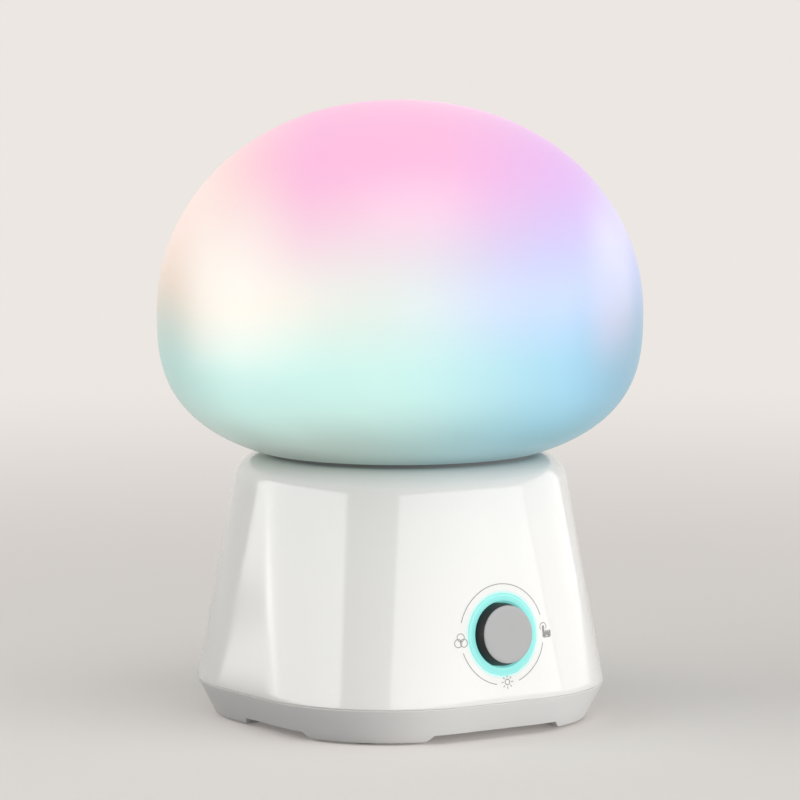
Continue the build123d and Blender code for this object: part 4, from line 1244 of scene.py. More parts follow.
@dataclass(frozen=True)
class Taper:
    """The base's rounded-square outline, which changes evenly with height."""

    low: float
    high: float
    width_low: float
    width_high: float
    flat_low: float
    flat_high: float

    def share(self, height: float) -> float:
        """How far up a height is."""
        return (height - self.low) / (self.high - self.low)

    def half(self, height: float) -> float:
        """Half the width across the flats."""
        return (self.width_low + self.share(height) * (self.width_high - self.width_low)) / 2

    def flat(self, height: float) -> float:
        """Half the length of a flat side."""
        return (self.flat_low + self.share(height) * (self.flat_high - self.flat_low)) / 2

    def lean(self, turn: float) -> float:
        """Lean of the wall in radians where its normal is turned from a flat side.

        Args:
            turn: The normal's turn from the side's own, in radians, up to a right angle.

        Returns:
            The angle from upright.
        """
        height = self.high - self.low
        flat_change = (self.flat_high - self.flat_low) / 2 / height
        corner_change = (self.width_high - self.width_low) / 2 / height - flat_change
        turn = abs(turn)
        slope = flat_change * (math.cos(turn) + math.sin(turn)) + corner_change
        return math.atan(-slope)

    def side_spot(self, along: float, height: float, inset: float = 0.0) -> WallSpot:
        """Where the front side is at a place along it.

        Args:
            along: The place along X.
            height: The height.
            inset: How far the outline is drawn in.

        Returns:
            X, Y and the normal's turn in radians.
        """
        flat = self.flat(height)
        radius = self.half(height) - flat - inset
        over = max(0.0, abs(along) - flat)
        turn = math.copysign(math.asin(over / radius), along)
        return along, -(flat + radius * math.cos(turn)), turn

    def corner_spot(self, turn: float, height: float, inset: float = 0.0) -> WallSpot:
        """Where the corner next to the front side's right end is.

        Args:
            turn: The normal's turn from the front side's own, in radians.
            height: The height.
            inset: How far the outline is drawn in.

        Returns:
            X, Y and that turn.
        """
        flat = self.flat(height)
        radius = self.half(height) - flat - inset
        return flat + radius * math.sin(turn), -(flat + radius * math.cos(turn)), turn

    def ring(self, height: float, strip: float, per_side: int, per_corner: int,
             inset: float = 0.0) -> list[WallSpot]:
        """Points round the outline, with the same count for every side and corner.

        Args:
            height: The height.
            strip: Half the length of the straight-numbered stretch on each side.
            per_side: Parts of each side's stretch.
            per_corner: Parts of each corner.
            inset: How far the outline is drawn in.

        Returns:
            X, Y and the normal's direction in radians for each point.
        """
        start = self.side_spot(strip, height, inset)[2]
        span = math.pi / 2 - 2 * start
        quarter = [self.side_spot(strip * (2 * i / per_side - 1), height, inset)
                   for i in range(per_side)]
        quarter += [self.corner_spot(start + span * i / per_corner, height, inset)
                    for i in range(per_corner)]
        points = []
        for side, (c, s) in enumerate(((1, 0), (0, 1), (-1, 0), (0, -1))):
            points += [(x * c - y * s, x * s + y * c, turn + side * math.pi / 2 - math.pi / 2)
                       for x, y, turn in quarter]
        return points


HOUSING_TAPER = Taper(9.2, 66.0, 93.0, 80.2, 22.2, 1.5)
PLINTH_TAPER = Taper(0.4, 9.2, 83.0, 93.0, 24.6, 22.2)


class Weave:
    """Collects rings of points and the faces between them."""

    def __init__(self) -> None:
        """Start empty."""
        self.spots: list[Spot] = []
        self.faces: list[Face] = []

    def ring(self, spots: Iterable[Spot]) -> list[int]:
        """Add points.

        Args:
            spots: The points.

        Returns:
            Their numbers.
        """
        first = len(self.spots)
        self.spots += spots
        return list(range(first, len(self.spots)))

    def level(self, walls: Iterable[WallSpot], height: float) -> list[int]:
        """Add an outline at a height and hand back its points' numbers."""
        return self.ring([(x, y, height) for x, y, _ in walls])

    def band(self, low: Sequence[int], high: Sequence[int], skip: Iterable[int] = ()) -> None:
        """Join two closed rings with quads.

        Args:
            low: The lower ring's points.
            high: The upper ring's points.
            skip: Numbers of the columns that are left out.
        """
        count = len(low)
        for i in range(count):
            if i not in skip:
                j = (i + 1) % count
                self.faces.append((low[i], low[j], high[j], high[i]))

    def mesh(self) -> bpy.types.Mesh:
        """The collected mesh."""
        return solid(self.spots, self.faces)


@dataclass
class Walled:
    """What the housing and the plinth share: a tapered wall made of like rings."""

    taper: Taper
    strip: float = 15.0
    per_side: int = 16
    per_corner: int = 36

    def around(self, height: float, inset: float) -> list[WallSpot]:
        """Points round the wall at a height."""
        return self.taper.ring(height, self.strip, self.per_side, self.per_corner, inset)


class Opening(Enum):
    """The holes in the housing's wall."""

    KNOB = "knob"
    INLET = "inlet"


@dataclass
class WhiteHousing(Walled):
    """The gloss-white tapered shell, open below, with holes for the neck, knob and inlet.

    A boss's pair is its bore's and its own radius.
    """

    taper: Taper = HOUSING_TAPER
    wall: float = 2.2
    shoulder: float = 7.0
    shoulder_steps: int = 12
    seam_round: float = 0.35
    seam_steps: int = 5
    upper_steps: int = 8
    neck_hole: float = 31.4
    neck_steps: int = 4
    patch_span: Flat = (10.8, 40.8)
    patch_steps: int = 7
    patch_ease: float = 0.8
    knob_hole: float = 10.1
    inlet_height: float = 31.23
    inlet_size: Flat = (9.54, 3.86)
    boss_offset: float = 28.0
    boss: Flat = (1.35, 3.5)
    boss_span: Flat = (9.3, 26.0)
    rib: Flat = (42.8, 46.4)
    rib_thick: float = 2.0
    carrier_ring: float = 34.6
    carrier_boss: Flat = (1.05, 2.6)
    carrier_span: Flat = (60.0, 64.2)
    control_reach: float = 15.6
    control_boss: Flat = (0.85, 2.4)
    control_span: Flat = (-8.0, -2.0)

    def soften(self, weave: Weave, height: float, inset: float, radius: float, steps: int,
               upward: bool) -> list[list[int]]:
        """Rings of a round that joins the leaning wall to a level face.

        Args:
            weave: Where the points go.
            height: Height of the round's centre.
            inset: How far the wall is drawn in.
            radius: The round's radius.
            steps: How many parts the round has.
            upward: Whether the level face is over the wall and not under it.

        Returns:
            The rings from the bottom up.
        """
        rings = []
        for step in range(steps + 1):
            spots = []
            for x, y, facing in self.around(height, inset):
                turn = facing % (math.pi / 2)
                lean = self.taper.lean(min(turn, math.pi / 2 - turn))
                start, stop = (lean, math.pi / 2) if upward else (-math.pi / 2, lean)
                angle = start + (stop - start) * step / steps
                out = radius * math.cos(angle) - radius / math.cos(lean)
                spots.append((x + out * math.cos(facing), y + out * math.sin(facing),
                              height + radius * math.sin(angle)))
            rings.append(weave.ring(spots))
        return rings

    def heights(self) -> list[float]:
        """Heights of the wall's rings, with even steps through the patches."""
        low, high = self.patch_span
        centre = self.taper.high - self.shoulder
        patch = [low + (high - low) * i / self.per_side for i in range(self.per_side + 1)]
        return patch + [high + (centre - high) * i / self.upper_steps
                        for i in range(1, self.upper_steps + 1)]

    def skin(self, weave: Weave, inset: float) -> tuple[list[list[int]], int]:
        """One side of the wall, from the seam up to the neck hole.

        Args:
            weave: Where the points go.
            inset: 0 for the outside and the wall's thickness for the inside.

        Returns:
            The rings from the bottom up, and the number of the patches' first ring.
        """
        low, centre = self.taper.low, self.taper.high - self.shoulder
        if inset == 0.0:
            rings = self.soften(weave, low + self.seam_round, inset, self.seam_round,
                                self.seam_steps, False)
        else:
            rings = [weave.level(self.around(low, inset), low)]
        first = len(rings)
        rings += [weave.level(self.around(height, inset), height) for height in self.heights()]
        rings += self.soften(weave, centre, inset, self.shoulder - inset, self.shoulder_steps, True)
        edge = [weave.spots[i] for i in rings[-1]]
        for step in range(1, self.neck_steps + 1):
            spots = []
            for x, y, z in edge:
                scale = 1 + step / self.neck_steps * (self.neck_hole / math.hypot(x, y) - 1)
                spots.append((x * scale, y * scale, z))
            rings.append(weave.ring(spots))
        return rings, first

    def hole(self, ray: Flat, opening: Opening) -> Flat:
        """Where a ray from a hole's middle meets its edge.

        Args:
            ray: The ray's direction along the wall and up.
            opening: Which hole.

        Returns:
            The edge point from the hole's middle, along X and up Z.
        """
        length = math.hypot(*ray)
        u, v = ray[0] / length, ray[1] / length
        if opening is Opening.KNOB:
            return self.knob_hole * u, self.knob_hole * v * math.cos(self.taper.lean(0.0))
        radius = self.inlet_size[1] / 2
        flat = self.inlet_size[0] / 2 - radius
        if abs(u) * radius <= abs(v) * flat:
            return radius * u / abs(v), math.copysign(radius, v)
        along = abs(u) * flat
        reach = along + math.sqrt(max(0.0, along * along - flat * flat + radius * radius))
        return reach * u, reach * v

    def patch(self, weave: Weave, rings: list[list[int]], opening: Opening,
              inset: float) -> list[int]:
        """Fill a square of the wall round a hole.

        Args:
            weave: Where the points go.
            rings: The wall's rings, from the patch's first one up.
            opening: The knob's hole on the front or the inlet's on the back.
            inset: 0 for the outside and the wall's thickness for the inside.

        Returns:
            The points of the hole's edge, in order.
        """
        back = opening is Opening.INLET
        start = 2 * (self.per_side + self.per_corner) if back else 0
        middle = self.inlet_height if back else KNOB_HEIGHT
        sign = -1.0 if back else 1.0
        count = self.per_side
        border = [rings[0][start + i] for i in range(count)]
        border += [rings[i][start + count] for i in range(count)]
        border += [rings[count][start + count - i] for i in range(count)]
        border += [rings[count - i][start] for i in range(count)]
        edges = []
        for number in border:
            x, _, z = weave.spots[number]
            ray = (sign * x, z - middle)
            edges.append((ray, self.hole(ray, opening)))
        outer = border
        for step in range(1, self.patch_steps + 1):
            share = (step / self.patch_steps) ** self.patch_ease
            spots = []
            for (x, up), (hole_x, hole_up) in edges:
                along = x + (hole_x - x) * share
                height = middle + up + (hole_up - up) * share
                px, py, _ = self.taper.side_spot(along, height, inset)
                spots.append((sign * px, sign * py, height))
            inner = weave.ring(spots)
            weave.band(outer, inner)
            outer = inner
        return outer

    def shell(self) -> bpy.types.Mesh:
        """The closed shell with its three holes."""
        weave = Weave()
        back = 2 * (self.per_side + self.per_corner)
        gap = {start + i for start in (0, back) for i in range(self.per_side)}
        skins = []
        holes = []
        for inset in (0.0, self.wall):
            rings, first = self.skin(weave, inset)
            for index, (low, high) in enumerate(zip(rings, rings[1:])):
                pair = (low, high) if inset == 0.0 else (high, low)
                weave.band(*pair, skip=gap if 0 <= index - first < self.per_side else ())
            done = len(weave.faces)
            holes.append([self.patch(weave, rings[first:], opening, inset) for opening in Opening])
            if inset:
                weave.faces[done:] = [face[::-1] for face in weave.faces[done:]]
            skins.append(rings)
        weave.band(skins[1][0], skins[0][0])
        weave.band(skins[0][-1], skins[1][-1])
        for outer, inner in zip(*holes):
            weave.band(outer, inner)
        return weave.mesh()

    @staticmethod
    def post(make: Builder, size: Flat, span: Flat) -> bpy.types.Mesh:
        """One bored post about +Z.

        Args:
            make: The builder.
            size: Its bore's and its own radius.
            span: Its lower and upper height.

        Returns:
            The closed mesh.
        """
        bore, radius = size
        low, high = span
        profile = [(bore, low), (radius, low), (radius, high), (bore, high), (bore, low)]
        return make.turned.spin(profile, 32, make.palette.get(Slot.HOUSING_WHITE))

    def bosses(self, make: Builder) -> dict[str, bpy.types.Mesh]:
        """The screw posts inside, in place.

        Args:
            make: The builder.

        Returns:
            A mesh for each name.
        """
        finish = make.palette.get(Slot.HOUSING_WHITE)
        near, far = self.rib
        side = self.rib_thick / 2
        rib = prism([(near, -side), (far, -side), (far, side), (near, side)], *self.boss_span)
        plans = (("housing_posts", self.post(make, self.boss, self.boss_span),
                  self.boss_offset * math.sqrt(2)),
                 ("housing_ribs", rib, 0.0),
                 ("shoulder_posts", self.post(make, self.carrier_boss, self.carrier_span),
                  self.carrier_ring))
        meshes = {name: make.copies(make.ring, mesh, corners(radius), finish)
                  for name, mesh, radius in plans}
        pair = make.copies(make.row, self.post(make, self.control_boss, self.control_span),
                           {"Count": 2, "Pitch": 2 * self.control_reach * MM}, finish)
        pair.transform(knob_frame())
        return {**meshes, "control_posts": pair}

    def build(self, make: Builder) -> None:
        """Make the housing's pieces.

        Args:
            make: The builder.
        """
        make.piece("housing_shell", self.shell(), Slot.HOUSING_WHITE, ["upper_housing"],
                   crease=40.0)
        for name, mesh in self.bosses(make).items():
            make.piece(name, mesh, Slot.HOUSING_WHITE)


@dataclass
class GreyPlinth(Walled):
    """The grey lower shell with four feet, low arches between them and a locating lip."""

    taper: Taper = PLINTH_TAPER
    per_side: int = 12
    edge_round: float = 0.4
    top_round: float = 0.35
    steps: int = 4
    lip_inset: float = 2.4
    lip_thick: float = 1.4
    lip_top: float = 11.4
    floor: float = 3.9
    arch: Flat = (-18.0, 18.0)
    side_arch: Flat = (-19.2, 4.8)
    arch_flare: float = 1.8
    arch_top: float = 2.1
    below: float = 1.0
    pad_offset: float = 28.0
    pad_pocket: Flat = (5.7, 1.5)
    screw_pocket: Flat = (2.6, 5.0)
    screw_bore: Flat = (1.5, 12.0)
    pad_radius: float = 5.5
    pad_round: float = 0.4
    grips: Spot = (1.2, 2.4, 3.6)
    grip_half: Flat = (0.45, 0.3)
    grip_depth: float = 0.12
    sides: int = 48

    def levels(self) -> list[Flat]:
        """Height and inset of each ring, from the bottom up and over the lip to the floor."""
        low, high = self.taper.low, self.taper.high
        soft, crown, steps = self.edge_round, self.top_round, self.steps
        rise = high - low - soft - crown
        angles = [math.pi / 2 * step / steps for step in range(steps + 1)]
        inner = self.lip_inset + self.lip_thick
        return [
            *((low + soft * (1 - math.cos(a)), soft * (1 - math.sin(a))) for a in angles),
            *((low + soft + rise * step / steps, 0.0) for step in range(1, steps + 1)),
            *((high - crown * (1 - math.sin(a)), crown * (1 - math.cos(a))) for a in angles[1:]),
            (high, self.lip_inset), (self.lip_top, self.lip_inset), (self.lip_top, inner),
            (self.floor, inner)]

    def body(self) -> bpy.types.Mesh:
        """The plinth before its arches and pockets are cut."""
        weave = Weave()
        rings = [weave.level(self.around(min(height, self.taper.high), inset), height)
                 for height, inset in self.levels()]
        for low_ring, high_ring in zip(rings, rings[1:]):
            weave.band(low_ring, high_ring)
        weave.faces += [tuple(rings[0][::-1]), tuple(rings[-1])]
        return weave.mesh()

    def channel(self, span: Flat, turned: bool) -> bpy.types.Mesh:
        """Flared bar that cuts one pair of arches.

        Args:
            span: Where its top starts and stops.
            turned: Whether it runs from side to side and not from front to back.

        Returns:
            The closed mesh.
        """
        bottom = self.taper.low - self.below
        spread = self.arch_flare / (self.arch_top - self.taper.low) * (self.arch_top - bottom)
        start, stop = span
        outline = [(start - spread, bottom), (stop + spread, bottom), (stop, self.arch_top),
                   (start, self.arch_top)]
        length = self.taper.width_high
        spots = [(x, y, z) for y in (-length, length) for x, z in outline]
        if turned:
            spots = [(-y, x, z) for x, y, z in spots]
        faces: list[Face] = [(0, 1, 2, 3), (7, 6, 5, 4)]
        faces += [((i + 1) % 4, i, i + 4, (i + 1) % 4 + 4) for i in range(4)]
        return solid(spots, faces)

    def pocket(self, make: Builder) -> bpy.types.Mesh:
        """The stepped plug that cuts a foot's pad pocket, screw pocket and bore.

        Args:
            make: The builder.

        Returns:
            The closed mesh.
        """
        pad, pad_top = self.pad_pocket
        screw, screw_top = self.screw_pocket
        bore, bore_top = self.screw_bore
        profile = [(0.0, -self.below), (pad, -self.below), (pad, pad_top), (screw, pad_top),
                   (screw, screw_top), (bore, screw_top), (bore, bore_top), (0.0, bore_top)]
        return make.turned.spin(profile, self.sides, make.palette.get(Slot.PLINTH_GREY))

    def pad(self, make: Builder) -> bpy.types.Mesh:
        """A rubber pad with a rolled edge and grip rings.

        Args:
            make: The builder.

        Returns:
            The closed mesh.
        """
        radius, top, soft = self.pad_radius, self.pad_pocket[1], self.pad_round
        wide, narrow = self.grip_half
        profile = [(0.0, self.grip_depth)]
        for centre in self.grips:
            profile += [(centre - wide, self.grip_depth), (centre - narrow, 0.0),
                        (centre + narrow, 0.0), (centre + wide, self.grip_depth)]
        profile += arc((radius - soft, soft), soft, -90.0, 0.0, 5)
        profile += [(radius, top), (0.0, top)]
        return make.turned.spin(profile, self.sides, make.palette.get(Slot.PAD_RUBBER))

    def build(self, make: Builder) -> None:
        """Make the plinth and its pads.

        Args:
            make: The builder.
        """
        spread = corners(self.pad_offset * math.sqrt(2))
        pockets = make.copies(make.ring, self.pocket(make), spread,
                              make.palette.get(Slot.PLINTH_GREY))
        channels = [self.channel(self.arch, False), self.channel(self.side_arch, True)]
        make.piece("plinth_shell", carve(self.body(), [*channels, pockets]), Slot.PLINTH_GREY,
                   ["lower_plinth"], crease=28.0)
        pads = make.copies(make.ring, self.pad(make), spread, make.palette.get(Slot.PAD_RUBBER))
        make.piece("foot_pads", pads, Slot.PAD_RUBBER,
                   [f"foot_pad_{number}" for number in range(1, 5)])


def carve(mesh: bpy.types.Mesh, cutters: Iterable[bpy.types.Mesh]) -> bpy.types.Mesh:
    """Cut several meshes out of one.

    Args:
        mesh: What is cut.
        cutters: The closed meshes that cut it.

    Returns:
        The cut mesh.
    """
    host = link("carved", settle(mesh))
    tools = [link("cutter", settle(cutter)) for cutter in cutters]
    for tool in tools:
        modifier = host.modifiers.new("cut", "BOOLEAN")
        modifier.object, modifier.operation, modifier.solver = tool, "DIFFERENCE", "EXACT"
    result = flatten(host)
    for tool in tools:
        bpy.data.objects.remove(tool)
    return result


def knob_frame() -> Matrix:
    """The frame on the front face at the knob's middle: X across, Y up the face and Z out."""
    lean = HOUSING_TAPER.lean(0.0)
    across = Vector((1.0, 0.0, 0.0))
    up = Vector((0.0, math.sin(lean), math.cos(lean)))
    out = Vector((0.0, -math.cos(lean), math.sin(lean)))
    origin = Vector((0.0, -HOUSING_TAPER.half(KNOB_HEIGHT), KNOB_HEIGHT)) * MM
    frame = Matrix.Identity(4)
    for column, axis in enumerate((across, up, out, origin)):
        frame.col[column][:3] = axis
    return frame


@dataclass
class PressKnob:
    """The knob: a dark tapered cup with a satin grey face, in its glowing ring."""

    radius: float = 7.7
    front: float = 7.15
    reach: float = 2.3
    depth: float = 3.6
    bore: float = 6.3
    floor: float = 1.6
    lip_round: float = 0.12
    chamfer: float = 0.15
    hub: Flat = (5.0, -4.6)
    hub_bore: Flat = (3.05, 0.45)
    cap: float = 7.05
    cap_thick: float = 0.4
    dish: tuple[Flat, ...] = ((0.0, 0.06), (2.0, 0.055), (4.0, 0.035), (5.6, 0.01))
    spigot: Flat = (5.8, 0.7)
    spigot_gap: Flat = (0.2, 0.02)
    soft: float = 0.2
    ring_radius: float = 9.9
    ring_bore: float = 8.1
    ring_reach: float = 0.25
    ring_depth: float = 6.6
    flange: Spot = (11.9, -3.6, -2.5)
    sides: int = 128

    def cup(self) -> list[Flat]:
        """Profile of the cup."""
        lip, edge = self.reach, self.front - self.lip_round
        well, pit = self.spigot[0] + self.spigot_gap[0], self.reach - self.spigot[1]
        floor = pit - self.floor
        return [(0.0, pit), (well, pit), (well, lip), (edge, lip),
                *arc((edge, lip - self.lip_round), self.lip_round, 75.0, 15.0, 3),
                (self.radius, 0.0), (self.radius, self.chamfer - self.depth),
                (self.radius - self.chamfer, -self.depth), (self.bore, -self.depth),
                (self.bore, floor), (self.hub[0], floor), self.hub, (self.hub_bore[0], self.hub[1]),
                self.hub_bore, (0.0, self.hub_bore[1])]

    def face(self) -> list[Flat]:
        """Profile of the face plate, with a soft outer edge and a faint dish."""
        top = self.reach + self.cap_thick
        foot = self.reach - self.spigot[1] + self.spigot_gap[1]
        return [*((radius, top - dip) for radius, dip in self.dish),
                *arc((self.cap - self.soft, top - self.soft), self.soft, 90.0, 0.0, 5),
                (self.cap, self.reach), (self.spigot[0], self.reach), (self.spigot[0], foot),
                (0.0, foot)]

    def lens(self) -> list[Flat]:
        """Profile of the light ring."""
        outer, bore, soft = self.ring_radius, self.ring_bore, self.soft
        crest = self.ring_reach - soft
        flange, under, over = self.flange
        return [*arc((bore + soft, crest), soft, 180.0, 90.0, 4),
                *arc((outer - soft, crest), soft, 90.0, 0.0, 4),
                (outer, over), (flange, over), (flange, under), (outer, under),
                (outer, -self.ring_depth), (bore, -self.ring_depth), (bore, crest)]

    def build(self, make: Builder) -> None:
        """Make the knob and its ring.

        Args:
            make: The builder.
        """
        frame = knob_frame()
        plans = (("light_ring_lens", self.lens(), Slot.RING_CLEAR, "light_ring", Body.ROOT),
                 ("knob_cup", self.cup(), Slot.KNOB_DARK, "knob_body", Body.KNOB),
                 ("knob_face", self.face(), Slot.KNOB_GREY, "knob_cap", Body.KNOB))
        for name, profile, slot, node, body in plans:
            mesh = make.turned.spin(profile, self.sides, make.palette.get(slot))
            mesh.transform(frame)
            make.piece(name, mesh, slot, [node], body)


@dataclass
class DialMarks:
    """The printed circle round the knob, broken by three small marks.

    A mark's place is across and up the face from the knob's middle. A ring's pair is its radius
    and its line's width, and a finger's or knuckle's is its radius and where it ends below. The
    palm's corners are each a place in its mark and a radius.
    """

    circle: float = 12.28
    line: float = 0.21
    proud: float = 0.02
    sunk: float = 0.08
    breaks: tuple[Flat, ...] = ((17.5, 162.5), (197.5, 258.3), (289.3, 345.5))
    degrees_a_part: float = 2.0
    mix_mark: Flat = (-12.15, -0.75)
    mix_ring: Flat = (0.98, 0.2)
    mix_offset: float = 0.9
    sun_mark: Flat = (0.6, -11.7)
    sun_ring: Flat = (0.68, 0.24)
    sun_ray: Spot = (1.12, 1.4, 1.68)
    sun_rays: int = 8
    touch_mark: Flat = (13.1, -0.1)
    touch_tip: Flat = (-0.75, 0.85)
    touch_ring: Flat = (1.0, 0.2)
    finger: Flat = (0.34, -0.5)
    knuckle: Flat = (0.27, -0.7)
    knuckle_starts: Spot = (0.02, 0.68, 1.34)
    knuckle_up: float = -0.32
    palm: tuple[Spot, ...] = ((1.3, -0.8, 0.3), (-0.8, -0.8, 0.3), (-0.6, -1.35, 0.5),
                              (1.1, -1.35, 0.5))
    spots: list[Spot] = field(default_factory=list)
    faces: list[Face] = field(default_factory=list)

    def lay(self, across: float, up: float, out: float) -> Spot:
        """A point of the front face, followed round its curve.

        Args:
            across: Distance along X from the knob's middle.
            up: Distance up the face.
            out: Distance out from the face.

        Returns:
            The point.
        """
        z = KNOB_HEIGHT + up * math.cos(HOUSING_TAPER.lean(0.0))
        x, y, turn = HOUSING_TAPER.side_spot(across, z)
        tilt = HOUSING_TAPER.lean(turn)
        return (x + out * math.sin(turn) * math.cos(tilt),
                y - out * math.cos(turn) * math.cos(tilt), z + out * math.sin(tilt))

    def ribbon(self, line: Sequence[Flat], width: float, closed: bool = False) -> None:
        """Add a thin strip of print along a line.

        Args:
            line: The middle line's points, across and up.
            width: The strip's width.
            closed: Whether the line's end meets its start.
        """
        count = len(line)
        first = len(self.spots)
        for index, (across, up) in enumerate(line):
            before = line[(index - 1) % count] if closed or index else line[index]
            after = line[(index + 1) % count] if closed or index < count - 1 else line[index]
            run = (after[0] - before[0], after[1] - before[1])
            size = math.hypot(*run)
            side = (-run[1] / size * width / 2, run[0] / size * width / 2)
            for share, out in ((1, self.proud), (-1, self.proud),
                               (-1, -self.sunk), (1, -self.sunk)):
                self.spots.append(self.lay(across + share * side[0], up + share * side[1], out))
        for index in range(count if closed else count - 1):
            a, b = first + 4 * index, first + 4 * ((index + 1) % count)
            self.faces += [(a + k, a + (k + 1) % 4, b + (k + 1) % 4, b + k) for k in range(4)]
        if not closed:
            last = first + 4 * (count - 1)
            self.faces += [(first + 3, first + 2, first + 1, first),
                           (last, last + 1, last + 2, last + 3)]

    def shape(self, outline: Sequence[Flat]) -> None:
        """Add a small filled shape of print.

        Args:
            outline: Its corners, counter-clockwise.
        """
        count, first = len(outline), len(self.spots)
        for out in (self.proud, -self.sunk):
            self.spots += [self.lay(across, up, out) for across, up in outline]
        front = range(first, first + count)
        rear = range(first + count, first + 2 * count)
        self.faces += [tuple(front), tuple(rear)[::-1]]
        self.faces += [(front[(i + 1) % count], front[i], rear[i], rear[(i + 1) % count])
                       for i in range(count)]

    def post(self, top: Flat, radius: float, bottom: float, steps: int) -> None:
        """Add a filled upright bar with a round top.

        Args:
            top: Middle of the round top.
            radius: Its radius.
            bottom: Where the bar ends below.
            steps: How many parts the round has.
        """
        self.shape(arc(top, radius, 0.0, 180.0, steps)
                   + [(top[0] - radius, bottom), (top[0] + radius, bottom)])

    def colour_mark(self) -> None:
        """Three rings that overlap, for mixed colours."""
        radius, width = self.mix_ring
        for middle in arc(self.mix_mark, self.mix_offset, 90.0, 330.0, 2):
            self.ribbon(arc(middle, radius, 0.0, 348.0, 29), width, True)

    def light_mark(self) -> None:
        """A small sun, for brightness."""
        radius, width = self.sun_ring
        self.ribbon(arc(self.sun_mark, radius, 0.0, 345.0, 23), width, True)
        for index in range(self.sun_rays):
            angle = 2 * math.pi / self.sun_rays * index
            self.ribbon([(self.sun_mark[0] + reach * math.cos(angle),
                          self.sun_mark[1] + reach * math.sin(angle)) for reach in self.sun_ray],
                        width)

    def press_mark(self) -> None:
        """A finger on a ring, for pressing."""
        x, y = self.touch_mark
        tip = (x + self.touch_tip[0], y + self.touch_tip[1])
        self.ribbon(arc(tip, self.touch_ring[0], -35.0, 215.0, 20), self.touch_ring[1])
        self.post(tip, self.finger[0], y + self.finger[1], 8)
        for start in self.knuckle_starts:
            self.post((x + start, y + self.knuckle_up), self.knuckle[0], y + self.knuckle[1], 6)
        outline: list[Flat] = []
        for turn, (across, up, radius) in enumerate(self.palm):
            start = 90.0 * turn
            outline += arc((x + across, y + up), radius, start, start + 90.0, 5)
        self.shape(outline)

    def build(self, make: Builder) -> None:
        """Make the print as one piece.

        Args:
            make: The builder.
        """
        for start, stop in self.breaks:
            steps = int((stop - start) / self.degrees_a_part)
            self.ribbon(arc((0.0, 0.0), self.circle, start, stop, steps), self.line)
        self.colour_mark()
        self.light_mark()
        self.press_mark()
        mesh = solid(self.spots, self.faces)
        mesh.materials.append(Ink().make())
        make.piece("dial_print", mesh, None)


@dataclass
class InletContacts:
    """Gold contact strips on both faces of the inlet's tongue."""

    count: int = 12
    pitch: float = 0.5
    size: Spot = (0.25, 3.9, 0.04)
    start: float = 37.4
    middle: float = 31.23
    half_thick: float = 0.35

    def build(self, make: Builder) -> None:
        """Make the strips.

        Args:
            make: The builder.
        """
        finish = Drawn("contact_gold", screen(226, 190, 104), 0.25).make()
        width, length, thick = self.size
        stop = self.start + length
        outline = [(-width / 2, self.start), (width / 2, self.start), (width / 2, stop),
                   (-width / 2, stop)]
        for name, side in (("inlet_contacts_top", 1.0), ("inlet_contacts_bottom", -1.0)):
            level = self.middle + side * self.half_thick
            strip = prism(outline, level - thick, level + thick)
            mesh = make.copies(make.row, strip, {"Count": self.count, "Pitch": self.pitch * MM},
                               finish)
            make.piece(name, mesh, None)


class LampUse(Enum):
    """Where a lamp shows: everywhere, in matt shading alone or in reflections alone."""

    BOTH = "both"
    MATT = "matt"
    MIRRORED = "mirrored"


@dataclass(frozen=True)
class Lamp:
    """One soft lamp that faces the night light.

    Its turn is in degrees from the camera's side, to the right when positive, and its rise in
    degrees from level. Distance, size and aim, the height it points at, are in metres, and its
    power is in watts.
    """

    name: str
    turn: float
    rise: float
    distance: float
    size: Flat
    power: float
    use: LampUse = LampUse.BOTH
    aim: float = 0.07

    def build(self, camera_turn: float) -> None:
        """Make the lamp.

        Args:
            camera_turn: The camera's angle in degrees from the front, to the left.
        """
        data = bpy.data.lights.new(self.name, "AREA")
        data.shape = "RECTANGLE"
        data.size, data.size_y = self.size
        data.energy = self.power
        lamp = link(self.name, data)
        lamp.visible_camera = False
        lamp.visible_diffuse = self.use is not LampUse.MIRRORED
        lamp.visible_glossy = self.use is not LampUse.MATT
        angle, up = math.radians(self.turn - camera_turn), math.radians(self.rise)
        way = Vector((math.sin(angle) * math.cos(up), -math.cos(angle) * math.cos(up),
                      math.sin(up)))
        lamp.location = way * self.distance + Vector((0.0, 0.0, self.aim))
        lamp.rotation_mode = "QUATERNION"
        lamp.rotation_quaternion = way.to_track_quat("Z", "Y")


# Turn of the lamp that the left flat of the housing mirrors, in degrees from the camera's side.
MIRROR_TURN = -75.7
LAMPS = (
    Lamp("left", -70.0, 32.0, 1.2, (1.2, 0.7), 5.8, LampUse.MATT),
    Lamp("left_mirrored", MIRROR_TURN, 9.0, 1.2, (1.862, 0.6), 8.2, LampUse.MIRRORED),
    Lamp("right", 45.5, 7.0, 1.2, (2.28, 0.7), 9.7),
    Lamp("far_right", 82.0, 5.0, 1.2, (0.7, 0.6), 2.9, LampUse.MATT),
    Lamp("far_right_mirrored", 114.6, 7.0, 1.2, (1.1, 0.7), 2.5, LampUse.MIRRORED),
    Lamp("top", 20.0, 70.0, 1.1, (0.7, 0.7), 2.6),
)


